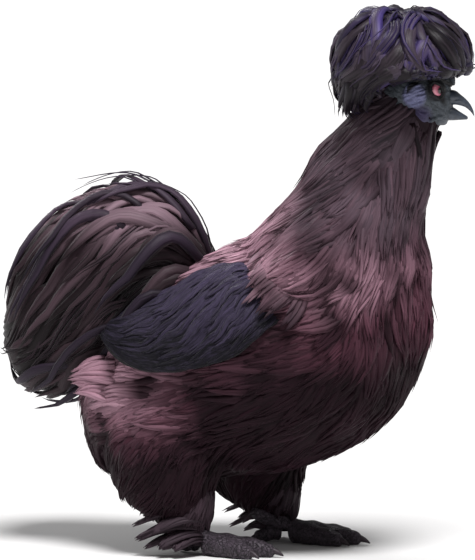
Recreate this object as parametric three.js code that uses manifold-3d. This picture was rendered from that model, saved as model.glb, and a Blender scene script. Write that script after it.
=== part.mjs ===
// A silkie chicken, life size and standing, as a still museum model.
// Millimetres, +X forward, +Y to the bird's left, +Z up.
// The coat is built as flat, tapered locks over a core, the wings and tail as overlapping vanes in tiers.
import * as THREE from "three";
import { mergeVertices } from "three/addons/utils/BufferGeometryUtils.js";
import Module from "manifold-3d";

const wasm = await Module();
wasm.setup();

// Driving dimensions
const GAP = 0.5; // left between two nodes that touch
const FINENESS = 0.12; // the smallest step kept in a surface
const GRID = 0.01; // corners are rounded to it
const NOTCH = 0.6; // radius of the first notch that parts faces which meet in one edge
const STANCE_HALF = 42; // from the middle plane to each foot
const RIGHT_FOOT_X = -22;
const LEFT_FOOT_X = 14;
const COAT_DEPTH = 11; // from the core of the body to the tips of its locks
const HEAD_YAW = 12; // degrees, the head turned a little to the left
const HEAD_AT = new THREE.Vector3(120, 0, 318);
const EYE_RADIUS = 5.2;
const EYE_AT = new THREE.Vector3(13.8, 10.4, 4.6);
const CREST_AT = new THREE.Vector3(-10, 0, 21.5);
const CREST_RADIUS = 49;
const CREST_RISE = 45;
const CREST_CORE = 0.66; // the core's share of the crest's size
const TOE_LENGTH = 49;
const SEED = 11;

// Colours
const COAT_MAUVE = 0x6d5057;
const COAT_DUSK = 0x57484e;
const CREST_BLACK = 0x38323f;
const WING_SLATE = 0x4a4760;
const SKIN_SLATE = 0x33373f;
const LOBE_BLUE = 0x6f7396;
const HORN_DARK = 0x2f333d;
const SHANK_GREY = 0x443f45;
const CLAW_DARK = 0x2a2226;
const EYE_ROSE = 0x9c4a5c;

const UP = new THREE.Vector3(0, 0, 1);
const BACK = new THREE.Vector3(-1, 0, 0);
const LEFT = new THREE.Vector3(0, 1, 0);

const vec = (x, y, z) => new THREE.Vector3(x, y, z);
const radians = THREE.MathUtils.degToRad;
const mix = THREE.MathUtils.lerp;

THREE.MathUtils.seededRandom(SEED);
const vary = (amount) => (THREE.MathUtils.seededRandom() - 0.5) * 2 * amount;

// A closed geometry as a solid, with its faces turned outwards.
function toSolid(geometry) {
  geometry.deleteAttribute("normal");
  geometry.deleteAttribute("uv");
  const merged = mergeVertices(geometry, 1e-3);
  const points = merged.attributes.position.array;
  const triangles = new Uint32Array(merged.index.array);
  const corner = (i) => vec(points[3 * i], points[3 * i + 1], points[3 * i + 2]);
  let sixVolumes = 0;
  for (let i = 0; i < triangles.length; i += 3) {
    const [a, b, c] = [0, 1, 2].map((k) => corner(triangles[i + k]));
    sixVolumes += a.dot(b.cross(c));
  }
  if (sixVolumes < 0)
    for (let i = 0; i < triangles.length; i += 3)
      [triangles[i + 1], triangles[i + 2]] = [triangles[i + 2], triangles[i + 1]];
  return new wasm.Manifold(new wasm.Mesh({ numProp: 3, vertProperties: points, triVerts: triangles }));
}

// The faces of a solid with its corners rounded to the grid, so that no two are nearly the same
function rounded(solid) {
  const { numProp, vertProperties, triVerts } = solid.getMesh();
  const places = new Map();
  const corners = [];
  const corner = (i) => {
    const p = [0, 1, 2].map((k) => Math.round(vertProperties[i * numProp + k] / GRID) * GRID);
    const key = p.map((value) => value.toFixed(3)).join();
    if (!places.has(key)) places.set(key, corners.push(vec(...p)) - 1);
    return places.get(key);
  };
  const faces = new Map();
  for (let i = 0; i < triVerts.length; i += 3) {
    const face = [corner(triVerts[i]), corner(triVerts[i + 1]), corner(triVerts[i + 2])];
    const key = [...face].sort((a, b) => a - b).join();
    if (new Set(face).size < 3) continue;
    if (faces.has(key)) faces.delete(key);
    else faces.set(key, face);
  }
  return { corners, faces: [...faces.values()] };
}

// The edges that aren't run once each way by two faces
function pinches({ corners, faces }) {
  const uses = new Map();
  const edges = faces.flatMap(([a, b, c]) => [[a, b], [b, c], [c, a]]);
  for (const edge of edges) uses.set(edge.join(), (uses.get(edge.join()) ?? 0) + 1);
  const pinched = edges.filter(([a, b]) => uses.get(`${a},${b}`) !== 1 || uses.get(`${b},${a}`) !== 1);
  return pinched.map((edge) => edge.map((i) => corners[i]));
}

// A thin bar along an edge, which cuts a notch there
function notchAlong([from, to], radius) {
  const axis = to.clone().sub(from);
  const bar = new THREE.CylinderGeometry(radius, radius, axis.length() + 2 * radius, 4);
  const turn = new THREE.Quaternion().setFromUnitVectors(vec(0, 1, 0), axis.normalize());
  bar.applyQuaternion(turn);
  bar.translate(...from.clone().lerp(to, 0.5).toArray());
  return toSolid(bar);
}

// The largest closed surface of a solid, without needless edges
function surfaceOf(solid) {
  let body = solid;
  for (let tries = 1; tries < 10; tries++) {
    const bodies = body.asOriginal().simplify(FINENESS).decompose();
    body = bodies.sort((a, b) => b.volume() - a.volume())[0];
    const shape = rounded(body);
    const edges = pinches(shape);
    if (!edges.length) return shape;
    body = body.subtract(fuse(edges.map((edge) => notchAlong(edge, NOTCH * tries))));
  }
  throw new Error("a surface stays pinched");
}

const fuse = (solids) => wasm.Manifold.union(solids);
const cutBy = (solid, ...tools) => solid.subtract(fuse(tools));

// A rounded body round a spine. Each station is [x, y, z, dorsal radius, lateral radius].
// Its surface is reached by t along the spine, angle a from the dorsal side, and height h above it.
class Form {
  constructor({ stations, dorsal = UP, lateral = LEFT, capStart = 0.12, capEnd = 0.12, inset = 0 }) {
    const curve = (points) => new THREE.CatmullRomCurve3(points, false, "catmullrom", 0.5);
    this.spine = curve(stations.map(([x, y, z]) => vec(x, y, z)));
    this.girth = curve(stations.map(([, , , d, l]) => vec(d - inset, l - inset, 0)));
    Object.assign(this, { dorsal, lateral, capStart, capEnd });
  }

  round(t) {
    const toEnd = Math.min(t / this.capStart, (1 - t) / this.capEnd, 1);
    return Math.sqrt(Math.max(0, 1 - (1 - toEnd) ** 2));
  }

  skin(t, a) {
    const s = THREE.MathUtils.clamp(t, 0, 1);
    const girth = this.girth.getPoint(s).multiplyScalar(this.round(s));
    return this.spine
      .getPoint(s)
      .addScaledVector(this.dorsal, Math.cos(a) * girth.x)
      .addScaledVector(this.lateral, Math.sin(a) * girth.y);
  }

  normal(t, a) {
    if (t <= 0) return this.spine.getTangent(0).negate();
    if (t >= 1) return this.spine.getTangent(1);
    const step = 0.004;
    const s = THREE.MathUtils.clamp(t, 3 * step, 1 - 3 * step);
    const along = this.skin(s + step, a).sub(this.skin(s - step, a));
    const around = this.skin(s, a + step).sub(this.skin(s, a - step));
    const out = around.cross(along).normalize();
    return out.dot(this.skin(s, a).sub(this.spine.getPoint(s))) < 0 ? out.negate() : out;
  }

  at(t, a, h = 0) {
    return this.skin(t, a).addScaledVector(this.normal(t, a), h);
  }

  solid(around, along, grow = 0) {
    const ball = new THREE.SphereGeometry(1, around, along);
    const { position, uv } = ball.attributes;
    for (let i = 0; i < position.count; i++) {
      const t = (1 + Math.cos(Math.PI * uv.getY(i))) / 2;
      const end = uv.getY(i) < 1e-6 ? 1 : uv.getY(i) > 1 - 1e-6 ? 0 : t;
      const p = this.at(end, 2 * Math.PI * uv.getX(i), grow);
      position.setXYZ(i, p.x, p.y, p.z);
    }
    return toSolid(ball);
  }
}

// A flat, tapered lock or vane: a cone of three sides bent along a path, its ridge outwards.
// path(s) gives the middle line and out(s) the outward direction, for s from the root at 0 to the tip at 1.
function lock({ path, out, width, thick, segments = 4, grow = 0, fullest = 0.28 }) {
  const cone = new THREE.ConeGeometry(1, 1, 3, segments);
  const { position } = cone.attributes;
  for (let i = 0; i < position.count; i++) {
    const s = position.getY(i) + 0.5;
    const tangent = path(Math.min(s + 0.02, 1)).sub(path(Math.max(s - 0.02, 0))).normalize();
    const side = tangent.clone().cross(out(s)).normalize();
    const outward = side.clone().cross(tangent);
    const unit = s > 0.999 ? 0 : 1 / (1 - s);
    const across = position.getX(i) * unit;
    const above = position.getZ(i) * unit;
    const half = 0.58 * width * Math.max(0, Math.sin(Math.PI * mix(fullest, 1, s))) ** 0.8;
    const height = 0.62 * thick * (1 - 0.55 * s);
    const edgeAngle = Math.atan2(1.5 * height, 0.87 * half + 0.01);
    const widen = Math.sign(Math.round(across)) * (grow / Math.tan(edgeAngle / 2));
    const raise = above > 0 ? grow / Math.cos(edgeAngle) : Math.sign(above) * grow;
    const p = path(s)
      .addScaledVector(side, across * half + widen)
      .addScaledVector(outward, above * height + raise);
    if (!unit) p.addScaledVector(path(1).sub(path(1 - 1 / segments)).normalize(), 10 * grow);
    if (s < 0.001) p.addScaledVector(tangent, -2 * grow);
    position.setXYZ(i, p.x, p.y, p.z);
  }
  return toSolid(cone);
}

// A lock that runs over a form, from (t, a) to (t, a), and rises from its sunk root to its lift at the tip.
function lockOver(form, { t, a, sink, lift, width, thick, segments, fullest, ease = 1 }, grow) {
  const height = (s) => mix(-sink, lift, Math.max(s, 0) ** ease);
  const path = (s) => form.at(mix(t[0], t[1], s), mix(a[0], a[1], s), height(s));
  const out = (s) => form.normal(THREE.MathUtils.clamp(mix(t[0], t[1], s), 0.03, 0.97), mix(a[0], a[1], s));
  return lock({ path, out, width, thick, segments, fullest, grow });
}

// One tier of locks round a form: count of them between two angles in degrees, each from t[0] to t[1].
// Those that skip picks out, by where they start and their angle, are left out.
function tier({ t, count, from = -180, to = 180, sweep = 0, tJitter = 0.02, aJitter = 4, skip, ...size }) {
  const locks = [];
  for (let i = 0; i < count; i++) {
    const degrees = mix(from, to, (i + 0.5) / count) + vary(aJitter);
    const shift = vary(tJitter);
    const start = t[0] + shift;
    const end = t[1] + shift + vary(tJitter);
    const side = Math.sign(degrees) * Math.min(1, Math.abs(degrees) / 30, (180 - Math.abs(degrees)) / 30);
    const turned = degrees + side * sweep + vary(aJitter);
    const spec = {
      ...size,
      t: [start, end],
      a: [radians(degrees), radians(turned)],
      width: size.width * (1 + vary(0.14)),
      lift: size.lift + vary(1.2),
    };
    if (!skip?.(start, degrees)) locks.push(spec);
  }
  return locks;
}

const material = (color, roughness = 0.75) =>
  new THREE.MeshStandardMaterial({ color, roughness, metalness: 0 });

function toMesh(name, solid, finish) {
  const { corners, faces } = surfaceOf(solid);
  const geometry = new THREE.BufferGeometry().setFromPoints(corners).setIndex(faces.flat());
  geometry.computeVertexNormals();
  const mesh = new THREE.Mesh(geometry, finish);
  mesh.name = name;
  return mesh;
}

// The placing of the head, and a solid moved by a matrix
const headMatrix = new THREE.Matrix4().makeRotationZ(radians(HEAD_YAW)).setPosition(HEAD_AT);
const moved = (solid, matrix) => solid.transform(matrix.elements);

// Torso: breast, back, belly and rump, from rump to breast
const torsoStations = [
  [-116, 0, 92, 40, 42],
  [-92, 0, 100, 58, 64],
  [-60, 0, 112, 73, 78],
  [-25, 0, 127, 84, 84],
  [10, 0, 135, 88, 85],
  [45, 0, 141, 87, 82],
  [78, 0, 148, 77, 74],
  [104, 0, 156, 64, 60],
  [126, 0, 164, 47, 45],
];
const torsoEnvelope = new Form({ stations: torsoStations, capStart: 0.14, capEnd: 0.16 });
const torsoCore = new Form({ stations: torsoStations, capStart: 0.14, capEnd: 0.16, inset: COAT_DEPTH });

// Neck: level rings from inside the shoulders up into the head
const neckStations = [
  [60, 0, 186, 66, 72],
  [62, 0, 206, 64, 68],
  [68, 0, 226, 58, 59],
  [77, 0, 243, 52.5, 51],
  [83.5, 0, 257, 48.5, 46],
  [90, 0, 271, 46.5, 42],
  [98, 0, 286, 42, 38],
  [105, 0, 300, 38.5, 33],
  [110, 0, 316, 32, 27],
];
const neckEnvelope = new Form({ stations: neckStations, dorsal: BACK, capStart: 0.05, capEnd: 0.1 });
const neckCore = new Form({ stations: neckStations, dorsal: BACK, capStart: 0.05, capEnd: 0.1, inset: 8 });

// The thin cut between neck and torso: a plane a little higher at the breast than at the back
const neckCutNormal = vec(-0.12, 0, 1).normalize();
const neckCutOffset = neckCutNormal.dot(vec(60, 0, 203));

// Thighs: level rings from the hip down to the hock
const thighStations = (side, x) => [
  [x - 8, side * 36, 124, 40, 32],
  [x - 16, side * 41, 100, 50, 40],
  [x - 24, side * 43, 72, 50, 41],
  [x - 26, side * 43, 48, 41, 35],
  [x - 18, side * 42, 31, 30, 26],
  [x - 8, side * 42, 18, 21, 19],
];
const THIGH_COAT = 7;
const legs = {
  right: { side: -1, x: RIGHT_FOOT_X },
  left: { side: 1, x: LEFT_FOOT_X },
};
for (const leg of Object.values(legs)) {
  const stations = thighStations(leg.side, leg.x);
  leg.envelope = new Form({ stations, dorsal: BACK, capStart: 0.2, capEnd: 0.14 });
  leg.core = new Form({ stations, dorsal: BACK, capStart: 0.2, capEnd: 0.14, inset: THIGH_COAT });
}

// Tail: a full round plume from its root over the rump
const tailStations = [
  [-26, 0, 192, 27, 24],
  [-54, 0, 188, 56, 40],
  [-90, 0, 177, 76, 52],
  [-126, 0, 163, 78, 55],
  [-157, 0, 150, 66, 46],
  [-177, 0, 147, 46, 30],
];
const tailEnvelope = new Form({ stations: tailStations, capStart: 0.08, capEnd: 0.2 });
const tailCore = new Form({
  stations: tailStations.map(([x, y, z, d, l], i) => {
    const share = [0.9, 0.72, 0.56, 0.52, 0.5, 0.5][i];
    return [mix(-26, x, 0.84), y, z, d * share, l * share];
  }),
  capStart: 0.08,
  capEnd: 0.24,
});

// Head, in its own frame: +X to the beak, the origin in the middle of the skull
const headStations = [
  [-24, 0, 0, 14, 12],
  [-12, 0, -1, 18, 15.5],
  [0, 0, -1.5, 19.5, 17],
  [10, 0, -2.5, 19, 15.8],
  [18, 0, -3.5, 17, 12.6],
  [25, 0, -5, 13, 9.4],
];
const headForm = new Form({ stations: headStations, capStart: 0.3, capEnd: 0.16 });
const skull = (grow = 0) => headForm.solid(18, 10, grow);

function ball(center, rx, ry, rz, around = 12, along = 8) {
  const geometry = new THREE.SphereGeometry(1, around, along);
  geometry.scale(rx, ry, rz);
  geometry.translate(center.x, center.y, center.z);
  return toSolid(geometry);
}

const mirroredY = (p, side) => vec(p.x, side * p.y, p.z);

const eyeball = (side, grow = 0) => {
  const r = EYE_RADIUS + grow;
  return ball(mirroredY(EYE_AT, side), r, r, r, 12, 8);
};

// Brow and lids: a soft arch over each eye and a rim round it
function lids(side, grow = 0) {
  const rim = new THREE.TorusGeometry(EYE_RADIUS + 0.5, 1.5 + grow, 5, 12);
  rim.scale(1, 1.08, 1);
  rim.rotateX(Math.PI / 2);
  rim.rotateZ(radians(-14 * side));
  rim.translate(EYE_AT.x + 0.4, side * (EYE_AT.y + 2.6), EYE_AT.z);
  const browPath = new THREE.CatmullRomCurve3([
    vec(-3 - 2 * grow, side * 14.5, 9.5),
    vec(6, side * 13.8, 13.4),
    vec(14, side * 11.8, 14),
    vec(21, side * 8.2, 10.4),
    vec(24 + grow, side * (5 - grow), 5.5 - 2 * grow),
  ]);
  const brow = new THREE.ExtrudeGeometry(
    new THREE.Shape(new THREE.EllipseCurve(0, 0, 2.6 + grow, 2.6 + grow).getPoints(5)),
    { extrudePath: browPath, steps: 6 },
  );
  return [toSolid(rim), toSolid(brow)];
}

const lobe = (side, grow = 0) =>
  ball(vec(-1, side * 16.2, 1.2), 7.2 + grow, 3.6 + grow, 8.4 + grow, 10, 6);
const wattle = (side, grow = 0) =>
  ball(vec(2.5, side * 14.6, -13.5), 6 + grow, 3.4 + grow, 5.4 + grow, 10, 6);

// Walnut comb: a low cluster of rounded bulbs on the forehead
function combSolid(grow = 0) {
  const bulbs = [
    [19.5, 0, 14, 5.2],
    [15, 3.6, 16, 4.6],
    [15, -3.6, 16, 4.6],
    [23.4, 2.4, 10, 3.6],
    [23.4, -2.4, 10, 3.6],
  ];
  return fuse(bulbs.map(([x, y, z, r]) => ball(vec(x, y, z), r + grow, r + grow, r + grow, 8, 5)));
}

const beakUpperForm = new Form({
  stations: [
    [17, 0, -1.6, 5.6, 6.8],
    [26, 0, -1.4, 5, 5.6],
    [30.4, 0, -3, 3.6, 4.4],
    [33.8, 0, -4.9, 2.7, 3.3],
    [36.8, 0, -8, 2.2, 2.3],
    [39, 0, -11.6, 1.5, 1.4],
    [39.8, 0, -14.2, 0.9, 0.8],
  ],
  capStart: 0.05,
  capEnd: 0.06,
});
const beakLowerForm = new Form({
  stations: [
    [16, 0, -12, 5, 5.8],
    [24, 0, -12.4, 4.8, 4.9],
    [29, 0, -13.7, 3.2, 3.5],
    [33, 0, -14.8, 1.8, 2.1],
    [35.4, 0, -15.4, 1, 1.1],
  ],
  capStart: 0.05,
  capEnd: 0.08,
});

function headSolid() {
  const sides = [1, -1];
  const flesh = fuse([skull(), ...sides.flatMap((side) => lids(side))]);
  const sockets = sides.map((side) => eyeball(side, GAP));
  return cutBy(flesh, ...sockets);
}
// The head with its gap, as a tool for cutting what sits on it
const headTool = fuse([skull(GAP), ...[1, -1].map((side) => eyeball(side, 2 * GAP))]);

// Crest: a mop of locks that fall from the crown, longest behind, over a smaller core
const crestForm = {
  skirt: (a) => mix(7, 36, THREE.MathUtils.smoothstep(-Math.cos(a), -0.4, 1)),
  draw: (a) => mix(0.3, 0.1, (1 - Math.cos(a)) / 2),
  skin(t, a, size = 1) {
    const dome = Math.min(t, 0.5) * Math.PI;
    const below = Math.max(0, t - 0.5) * 2;
    const reach = size * CREST_RADIUS * Math.sin(dome) * (1 - this.draw(a) * below * below);
    const z = size * (CREST_RISE * Math.cos(dome) - this.skirt(a) * below);
    return vec(reach * Math.cos(a), reach * Math.sin(a), z).add(CREST_AT);
  },
  normal(t, a) {
    const p = this.skin(THREE.MathUtils.clamp(t, 0.02, 1), a).sub(CREST_AT);
    p.z = Math.max(p.z, -4);
    return p.divide(vec(CREST_RADIUS, CREST_RADIUS, CREST_RISE)).normalize();
  },
  at(t, a, h) {
    return this.skin(t, a).addScaledVector(this.normal(t, a), h);
  },
};

const crestCore = (grow) => {
  const reach = CREST_RADIUS * CREST_CORE + grow;
  return ball(CREST_AT.clone().add(vec(2, 0, -1)), reach, reach, CREST_RISE * CREST_CORE + 3 + grow, 14, 8);
};
const crestSink = CREST_RADIUS * (1 - CREST_CORE) + 5;
const strand = { sink: crestSink, lift: 0, thick: 5.5, segments: 3, aJitter: 2, ease: 0.8 };
const crestLocks = [
  ...tier({ ...strand, t: [0.42, 1.02], count: 14, width: 20, sweep: 5, segments: 4 }),
  ...tier({ ...strand, t: [0.26, 0.82], count: 11, width: 22, sweep: 6, lift: 2 }),
  ...tier({ ...strand, t: [0.12, 0.58], count: 8, width: 24, sweep: 7, lift: 3, ease: 0.6 }),
  ...tier({ ...strand, t: [0.03, 0.34], count: 5, width: 24, lift: 3, sink: crestSink - 4, ease: 0.4 }),
];
const crestSolid = (grow) =>
  fuse([crestCore(grow), ...crestLocks.map((spec) => lockOver(crestForm, spec, grow))]);

// Hackle of the neck: long locks lying down from the head onto the shoulders
const hackle = { sink: 13, thick: 5, sweep: 2, segments: 3, aJitter: 2 };
const hackleLocks = [
  ...tier({ ...hackle, t: [0.9, 0.56], count: 7, width: 27, lift: 2 }),
  ...tier({ ...hackle, t: [0.78, 0.38], count: 8, width: 31, lift: 3 }),
  ...tier({ ...hackle, t: [0.58, 0.14], count: 8, width: 42, lift: 4 }),
];

// Coat of the torso: locks in tiers from the breast back to the rump, left out under wings, tail and neck
const COVERED_BY_WING = (t, degrees) =>
  t > 0.28 && t < 0.78 && Math.abs(degrees) > 44 && Math.abs(degrees) < 95;
const COVERED_BY_NECK = (t, degrees) => t > 0.64 && Math.abs(degrees) < 62;
const COVERED_BY_LEGS = (t, degrees) => t > 0.15 && t < 0.62 && Math.abs(degrees) > 118;
const COVERED_BY_TAIL = (t, degrees) => t < 0.34 && Math.abs(degrees) < 46;
const hidden = (t, degrees) =>
  [COVERED_BY_WING, COVERED_BY_NECK, COVERED_BY_LEGS, COVERED_BY_TAIL].some((covers) => covers(t, degrees));
const collar = { sink: COAT_DEPTH + 6, thick: 6, lift: 1, segments: 3, aJitter: 3 };
const body = { ...collar, skip: hidden };
const torsoLocks = [
  ...tier({ ...collar, t: [0.74, 0.98], from: -100, to: 100, count: 6, width: 38, lift: 5 }),
  ...tier({ ...collar, t: [0.66, 0.38], from: -46, to: 46, count: 3, width: 44, lift: 4 }),
  ...tier({ ...body, t: [1.0, 0.8], from: 80, to: 280, count: 5, width: 32, sweep: 4 }),
  ...tier({ ...body, t: [0.92, 0.68], from: 70, to: 290, count: 7, width: 38, sweep: 4 }),
  ...tier({ ...body, t: [0.8, 0.52], count: 11, width: 40, sweep: 14 }),
  ...tier({ ...body, t: [0.64, 0.36], count: 10, width: 45, sweep: 10 }),
  ...tier({ ...body, t: [0.46, 0.2], count: 10, width: 43, sweep: 8 }),
  ...tier({ ...body, t: [0.27, 0.04], count: 9, width: 37, sweep: 5, lift: 3 }),
];

// Tail vanes: three tiers that arch from the root over the plume
const plume = { thick: 4.4, segments: 4, aJitter: 3, tJitter: 0.02, fullest: 0.2 };
const tailVanes = [
  ...tier({ ...plume, t: [0.14, 1.0], count: 13, width: 25, sink: 17, lift: -4, sweep: 12 }),
  ...tier({ ...plume, t: [0.1, 0.82], count: 11, width: 23, sink: 11, lift: 1, sweep: 14, segments: 3 }),
  ...tier({ ...plume, t: [0.07, 0.58], count: 8, width: 20, sink: 7, lift: 4, sweep: 16, segments: 3 }),
];

// Wing: a long leaf that lies along the side. Its middle line runs from shoulder to tip, in x and z.
const wingLine = new THREE.QuadraticBezierCurve(
  new THREE.Vector2(56, 200),
  new THREE.Vector2(5, 186),
  new THREE.Vector2(-86, 146),
);
const WING_DEPTH = 27; // half the leaf's depth at its widest
const WING_LIFT = 3; // of the wing's middle above the coat

// The side of the coat at a place in the plane of x and z, moved out by h
function sideOfTorso(x, z, side, h) {
  const xs = torsoStations.map((row) => row[0]);
  const last = xs.length - 1;
  let low = 0;
  while (low < last - 1 && x > xs[low + 1]) low++;
  const share = (x - xs[low]) / (xs[low + 1] - xs[low]);
  const t = THREE.MathUtils.clamp((low + share) / last, 0.06, 0.95);
  const middle = torsoEnvelope.spine.getPoint(t);
  const girth = torsoEnvelope.girth.getPoint(t).multiplyScalar(torsoEnvelope.round(t));
  const rise = THREE.MathUtils.clamp((z - middle.z) / girth.x, -0.86, 0.86);
  return vec(x, side * (girth.y * Math.sqrt(1 - rise * rise) + h), z);
}

// A place on the wing: u from shoulder to tip, v from -1 at the lower edge to 1 at the upper
function onWing(u, v, side, h) {
  const point = wingLine.getPoint(u);
  const along = wingLine.getTangent(u);
  const depth = WING_DEPTH * Math.sin(Math.PI * mix(0.2, 0.985, u)) ** 0.75;
  return sideOfTorso(point.x - along.y * v * -depth, point.y + along.x * v * -depth, side, h);
}

function wingVane(side, { u, v, width, height, thick }, grow) {
  const path = (s) => onWing(mix(u[0], u[1], s), mix(v[0], v[1], s), side, mix(height[0], height[1], s));
  const out = () => vec(0, side, 0.25);
  return lock({ path, out, width, thick, segments: 3, grow, fullest: 0.25 });
}

const wingVanes = [];
for (const [count, start, end, from, to, width, height] of [
  [5, 0.34, 1.0, -0.7, 0.55, 15, 2],
  [5, 0.18, 0.76, -0.9, 0.75, 17, 5],
  [5, 0.02, 0.46, -0.8, 0.8, 17, 8],
]) {
  for (let i = 0; i < count; i++) {
    const across = mix(from, to, (i + 0.5) / count);
    const tipU = end - Math.abs(across) * 0.16 + vary(0.02);
    wingVanes.push({
      u: [start + vary(0.02), tipU],
      v: [across * 0.7, across],
      width: width * (1 + vary(0.1)),
      height: [height - 5, height],
      thick: 4,
    });
  }
}

// The plate that the vanes spring from, half buried in the coat
function wingPlate(side, grow = 0) {
  const plate = new THREE.SphereGeometry(1, 14, 6);
  const { position } = plate.attributes;
  for (let i = 0; i < position.count; i++) {
    const u = 0.42 + 0.4 * position.getX(i);
    const v = position.getZ(i) * 0.86;
    const p = onWing(u, v, side, WING_LIFT + position.getY(i) * side * (4.5 + grow));
    position.setXYZ(i, p.x, p.y, p.z);
  }
  return toSolid(plate);
}
const wingSolid = (side, grow = 0) =>
  fuse([wingPlate(side, grow), ...wingVanes.map((spec) => wingVane(side, spec, grow))]);

// Feet: a shank, five toes cut flat underneath, and a claw on each
const SHANK_LENGTH = 32;
const TOES = {
  inner: { turn: 19, length: 0.9, rise: 0, base: [3, 1] },
  middle: { turn: 0, length: 1.02, rise: 0, base: [4, 0] },
  outer: { turn: -22, length: 0.88, rise: 0, base: [3, -1] },
  hind: { turn: 146, length: 0.4, rise: 0, base: [-4, 3] },
  fifth: { turn: 128, length: 0.46, rise: 9, base: [-5, 4] },
};

const shankForm = new Form({
  stations: [
    [-17, 0, SHANK_LENGTH + 4, 9, 8.4],
    [-9, 0, 23, 9, 8.4],
    [-1, 0, 13, 10.4, 9.6],
    [6, 0, 8, 10.6, 10.4],
  ],
  dorsal: BACK,
  capStart: 0.12,
  capEnd: 0.3,
});

// A toe's middle line in the foot's own frame, from its root to the end of its flesh
function toeLine({ turn, length, rise, base }, side) {
  const reach = TOE_LENGTH * length;
  const heading = radians(turn * -side);
  const forward = vec(Math.cos(heading), Math.sin(heading), 0);
  const point = (share, z) => vec(base[0], -side * base[1], z).addScaledVector(forward, reach * share);
  const raised = [8 + rise * 0.5, 8 + rise, 8 + rise * 1.3, 9 + rise * 1.5];
  const heights = rise ? raised : [8, 6.6, 5.4, 4.2];
  return [0, 0.36, 0.7, 1].map((share, i) => point(share, heights[i]));
}

function toeForm(toe, side) {
  const girths = toe.rise || toe.length < 0.5 ? [6.4, 5.2, 4.8, 4] : [8.8, 7.8, 6.6, 5];
  const heading = radians(toe.turn * -side);
  return new Form({
    stations: toeLine(toe, side).map(({ x, y, z }, i) => [x, y, z, girths[i], girths[i] * 0.94]),
    lateral: vec(-Math.sin(heading), Math.cos(heading), 0),
    capStart: 0.1,
    capEnd: 0.16,
  });
}

// A claw: a bent cone out of the end of a toe
function claw(toe, side) {
  const line = toeLine(toe, side);
  const tip = line[3];
  const forward = tip.clone().sub(line[2]).setZ(0).normalize();
  const size = toe.length < 0.5 ? 0.8 : 1;
  const path = (s) => {
    const reach = mix(-4, 9.5, s) * size;
    return tip.clone().addScaledVector(forward, reach).add(vec(0, 0, 1.4 - 3 * s * s));
  };
  const cone = new THREE.ConeGeometry(1, 1, 6, 3);
  const { position } = cone.attributes;
  const sideways = forward.clone().cross(UP);
  for (let i = 0; i < position.count; i++) {
    const s = position.getY(i) + 0.5;
    const full = s > 0.999 ? 0 : 2.5 * size * (1 - s) ** -0.25;
    const p = path(s)
      .addScaledVector(sideways, position.getX(i) * full)
      .addScaledVector(UP, position.getZ(i) * full * 1.1);
    position.setXYZ(i, p.x, p.y, Math.max(p.z, 0.4));
  }
  return toSolid(cone);
}

// Feathering of the shank: tufts that point back and out from the boot, clear of the floor
const bootTufts = [
  { from: [-12, -4, 24], to: [-44, -8, 22] },
  { from: [-12, 4, 24], to: [-40, 8, 22] },
  { from: [-8, -6, 20], to: [-40, -17, 13] },
  { from: [-5, -7, 15], to: [-30, -24, 7] },
  { from: [-2, -7, 13], to: [-12, -30, 6.5] },
  { from: [-8, 5, 17], to: [-34, 13, 9] },
  { from: [-6, -2, 16], to: [-37, -5, 11] },
  { from: [4, -7, 12], to: [12, -25, 9.5] },
];
function bootTuft({ from, to }, side, grow) {
  const start = vec(from[0], -side * from[1], from[2]);
  const end = vec(to[0], -side * to[1], to[2]);
  const middle = start.clone().lerp(end, 0.5).add(vec(0, 0, 4));
  const curve = new THREE.QuadraticBezierCurve3(start, middle, end);
  const path = (s) => curve.getPoint(THREE.MathUtils.clamp(s, 0, 1));
  return lock({ path, out: () => UP, width: 13, thick: 4.6, grow, segments: 3 });
}

function footSolid(side, grow = 0) {
  const toes = Object.values(TOES).map((toe) => toeForm(toe, side).solid(8, 6, grow));
  const tufts = bootTufts.map((spec) => bootTuft(spec, side, grow));
  const whole = fuse([shankForm.solid(10, 6, grow), ...toes, ...tufts]);
  return grow ? whole : whole.trimByPlane([0, 0, 1], 0);
}

// Assembly. Each later node is cut clear of the ones before it that it touches.
const group = new THREE.Group();
const headGroup = new THREE.Group();
headGroup.position.copy(HEAD_AT);
headGroup.rotation.z = radians(HEAD_YAW);
group.add(headGroup);

const finish = {
  mauve: material(COAT_MAUVE),
  dusk: material(COAT_DUSK),
  crest: material(CREST_BLACK),
  wing: material(WING_SLATE),
  skin: material(SKIN_SLATE, 0.6),
  lobe: material(LOBE_BLUE, 0.6),
  horn: material(HORN_DARK, 0.4),
  shank: material(SHANK_GREY, 0.7),
  claw: material(CLAW_DARK, 0.4),
  eye: material(EYE_ROSE, 0.1),
};

// Head and what sits on it, in the head's own frame
headGroup.add(toMesh("head", headSolid(), finish.skin));
const faceTool = fuse([headTool, ...[1, -1].flatMap((side) => lids(side, GAP))]);
const combNode = cutBy(combSolid(), faceTool);
headGroup.add(toMesh("comb", combNode, finish.skin));
const beakUpperNode = cutBy(beakUpperForm.solid(12, 8), faceTool, combSolid(GAP));
const beakLowerNode = cutBy(beakLowerForm.solid(10, 6), faceTool);
headGroup.add(toMesh("beak_upper", beakUpperNode, finish.horn));
headGroup.add(toMesh("beak_lower", beakLowerNode, finish.horn));
const headGear = [faceTool, combSolid(GAP)];
for (const [name, side] of [
  ["left", 1],
  ["right", -1],
]) {
  headGroup.add(toMesh(`eye_${name}`, eyeball(side), finish.eye));
  headGroup.add(toMesh(`earlobe_${name}`, cutBy(lobe(side), faceTool), finish.lobe));
  headGroup.add(toMesh(`wattle_${name}`, cutBy(wattle(side), faceTool, lobe(side, GAP)), finish.lobe));
  headGear.push(lobe(side, GAP), wattle(side, GAP));
}
const crestNode = cutBy(crestSolid(0), ...headGear);
headGroup.add(toMesh("crest", crestNode, finish.crest));

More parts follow.
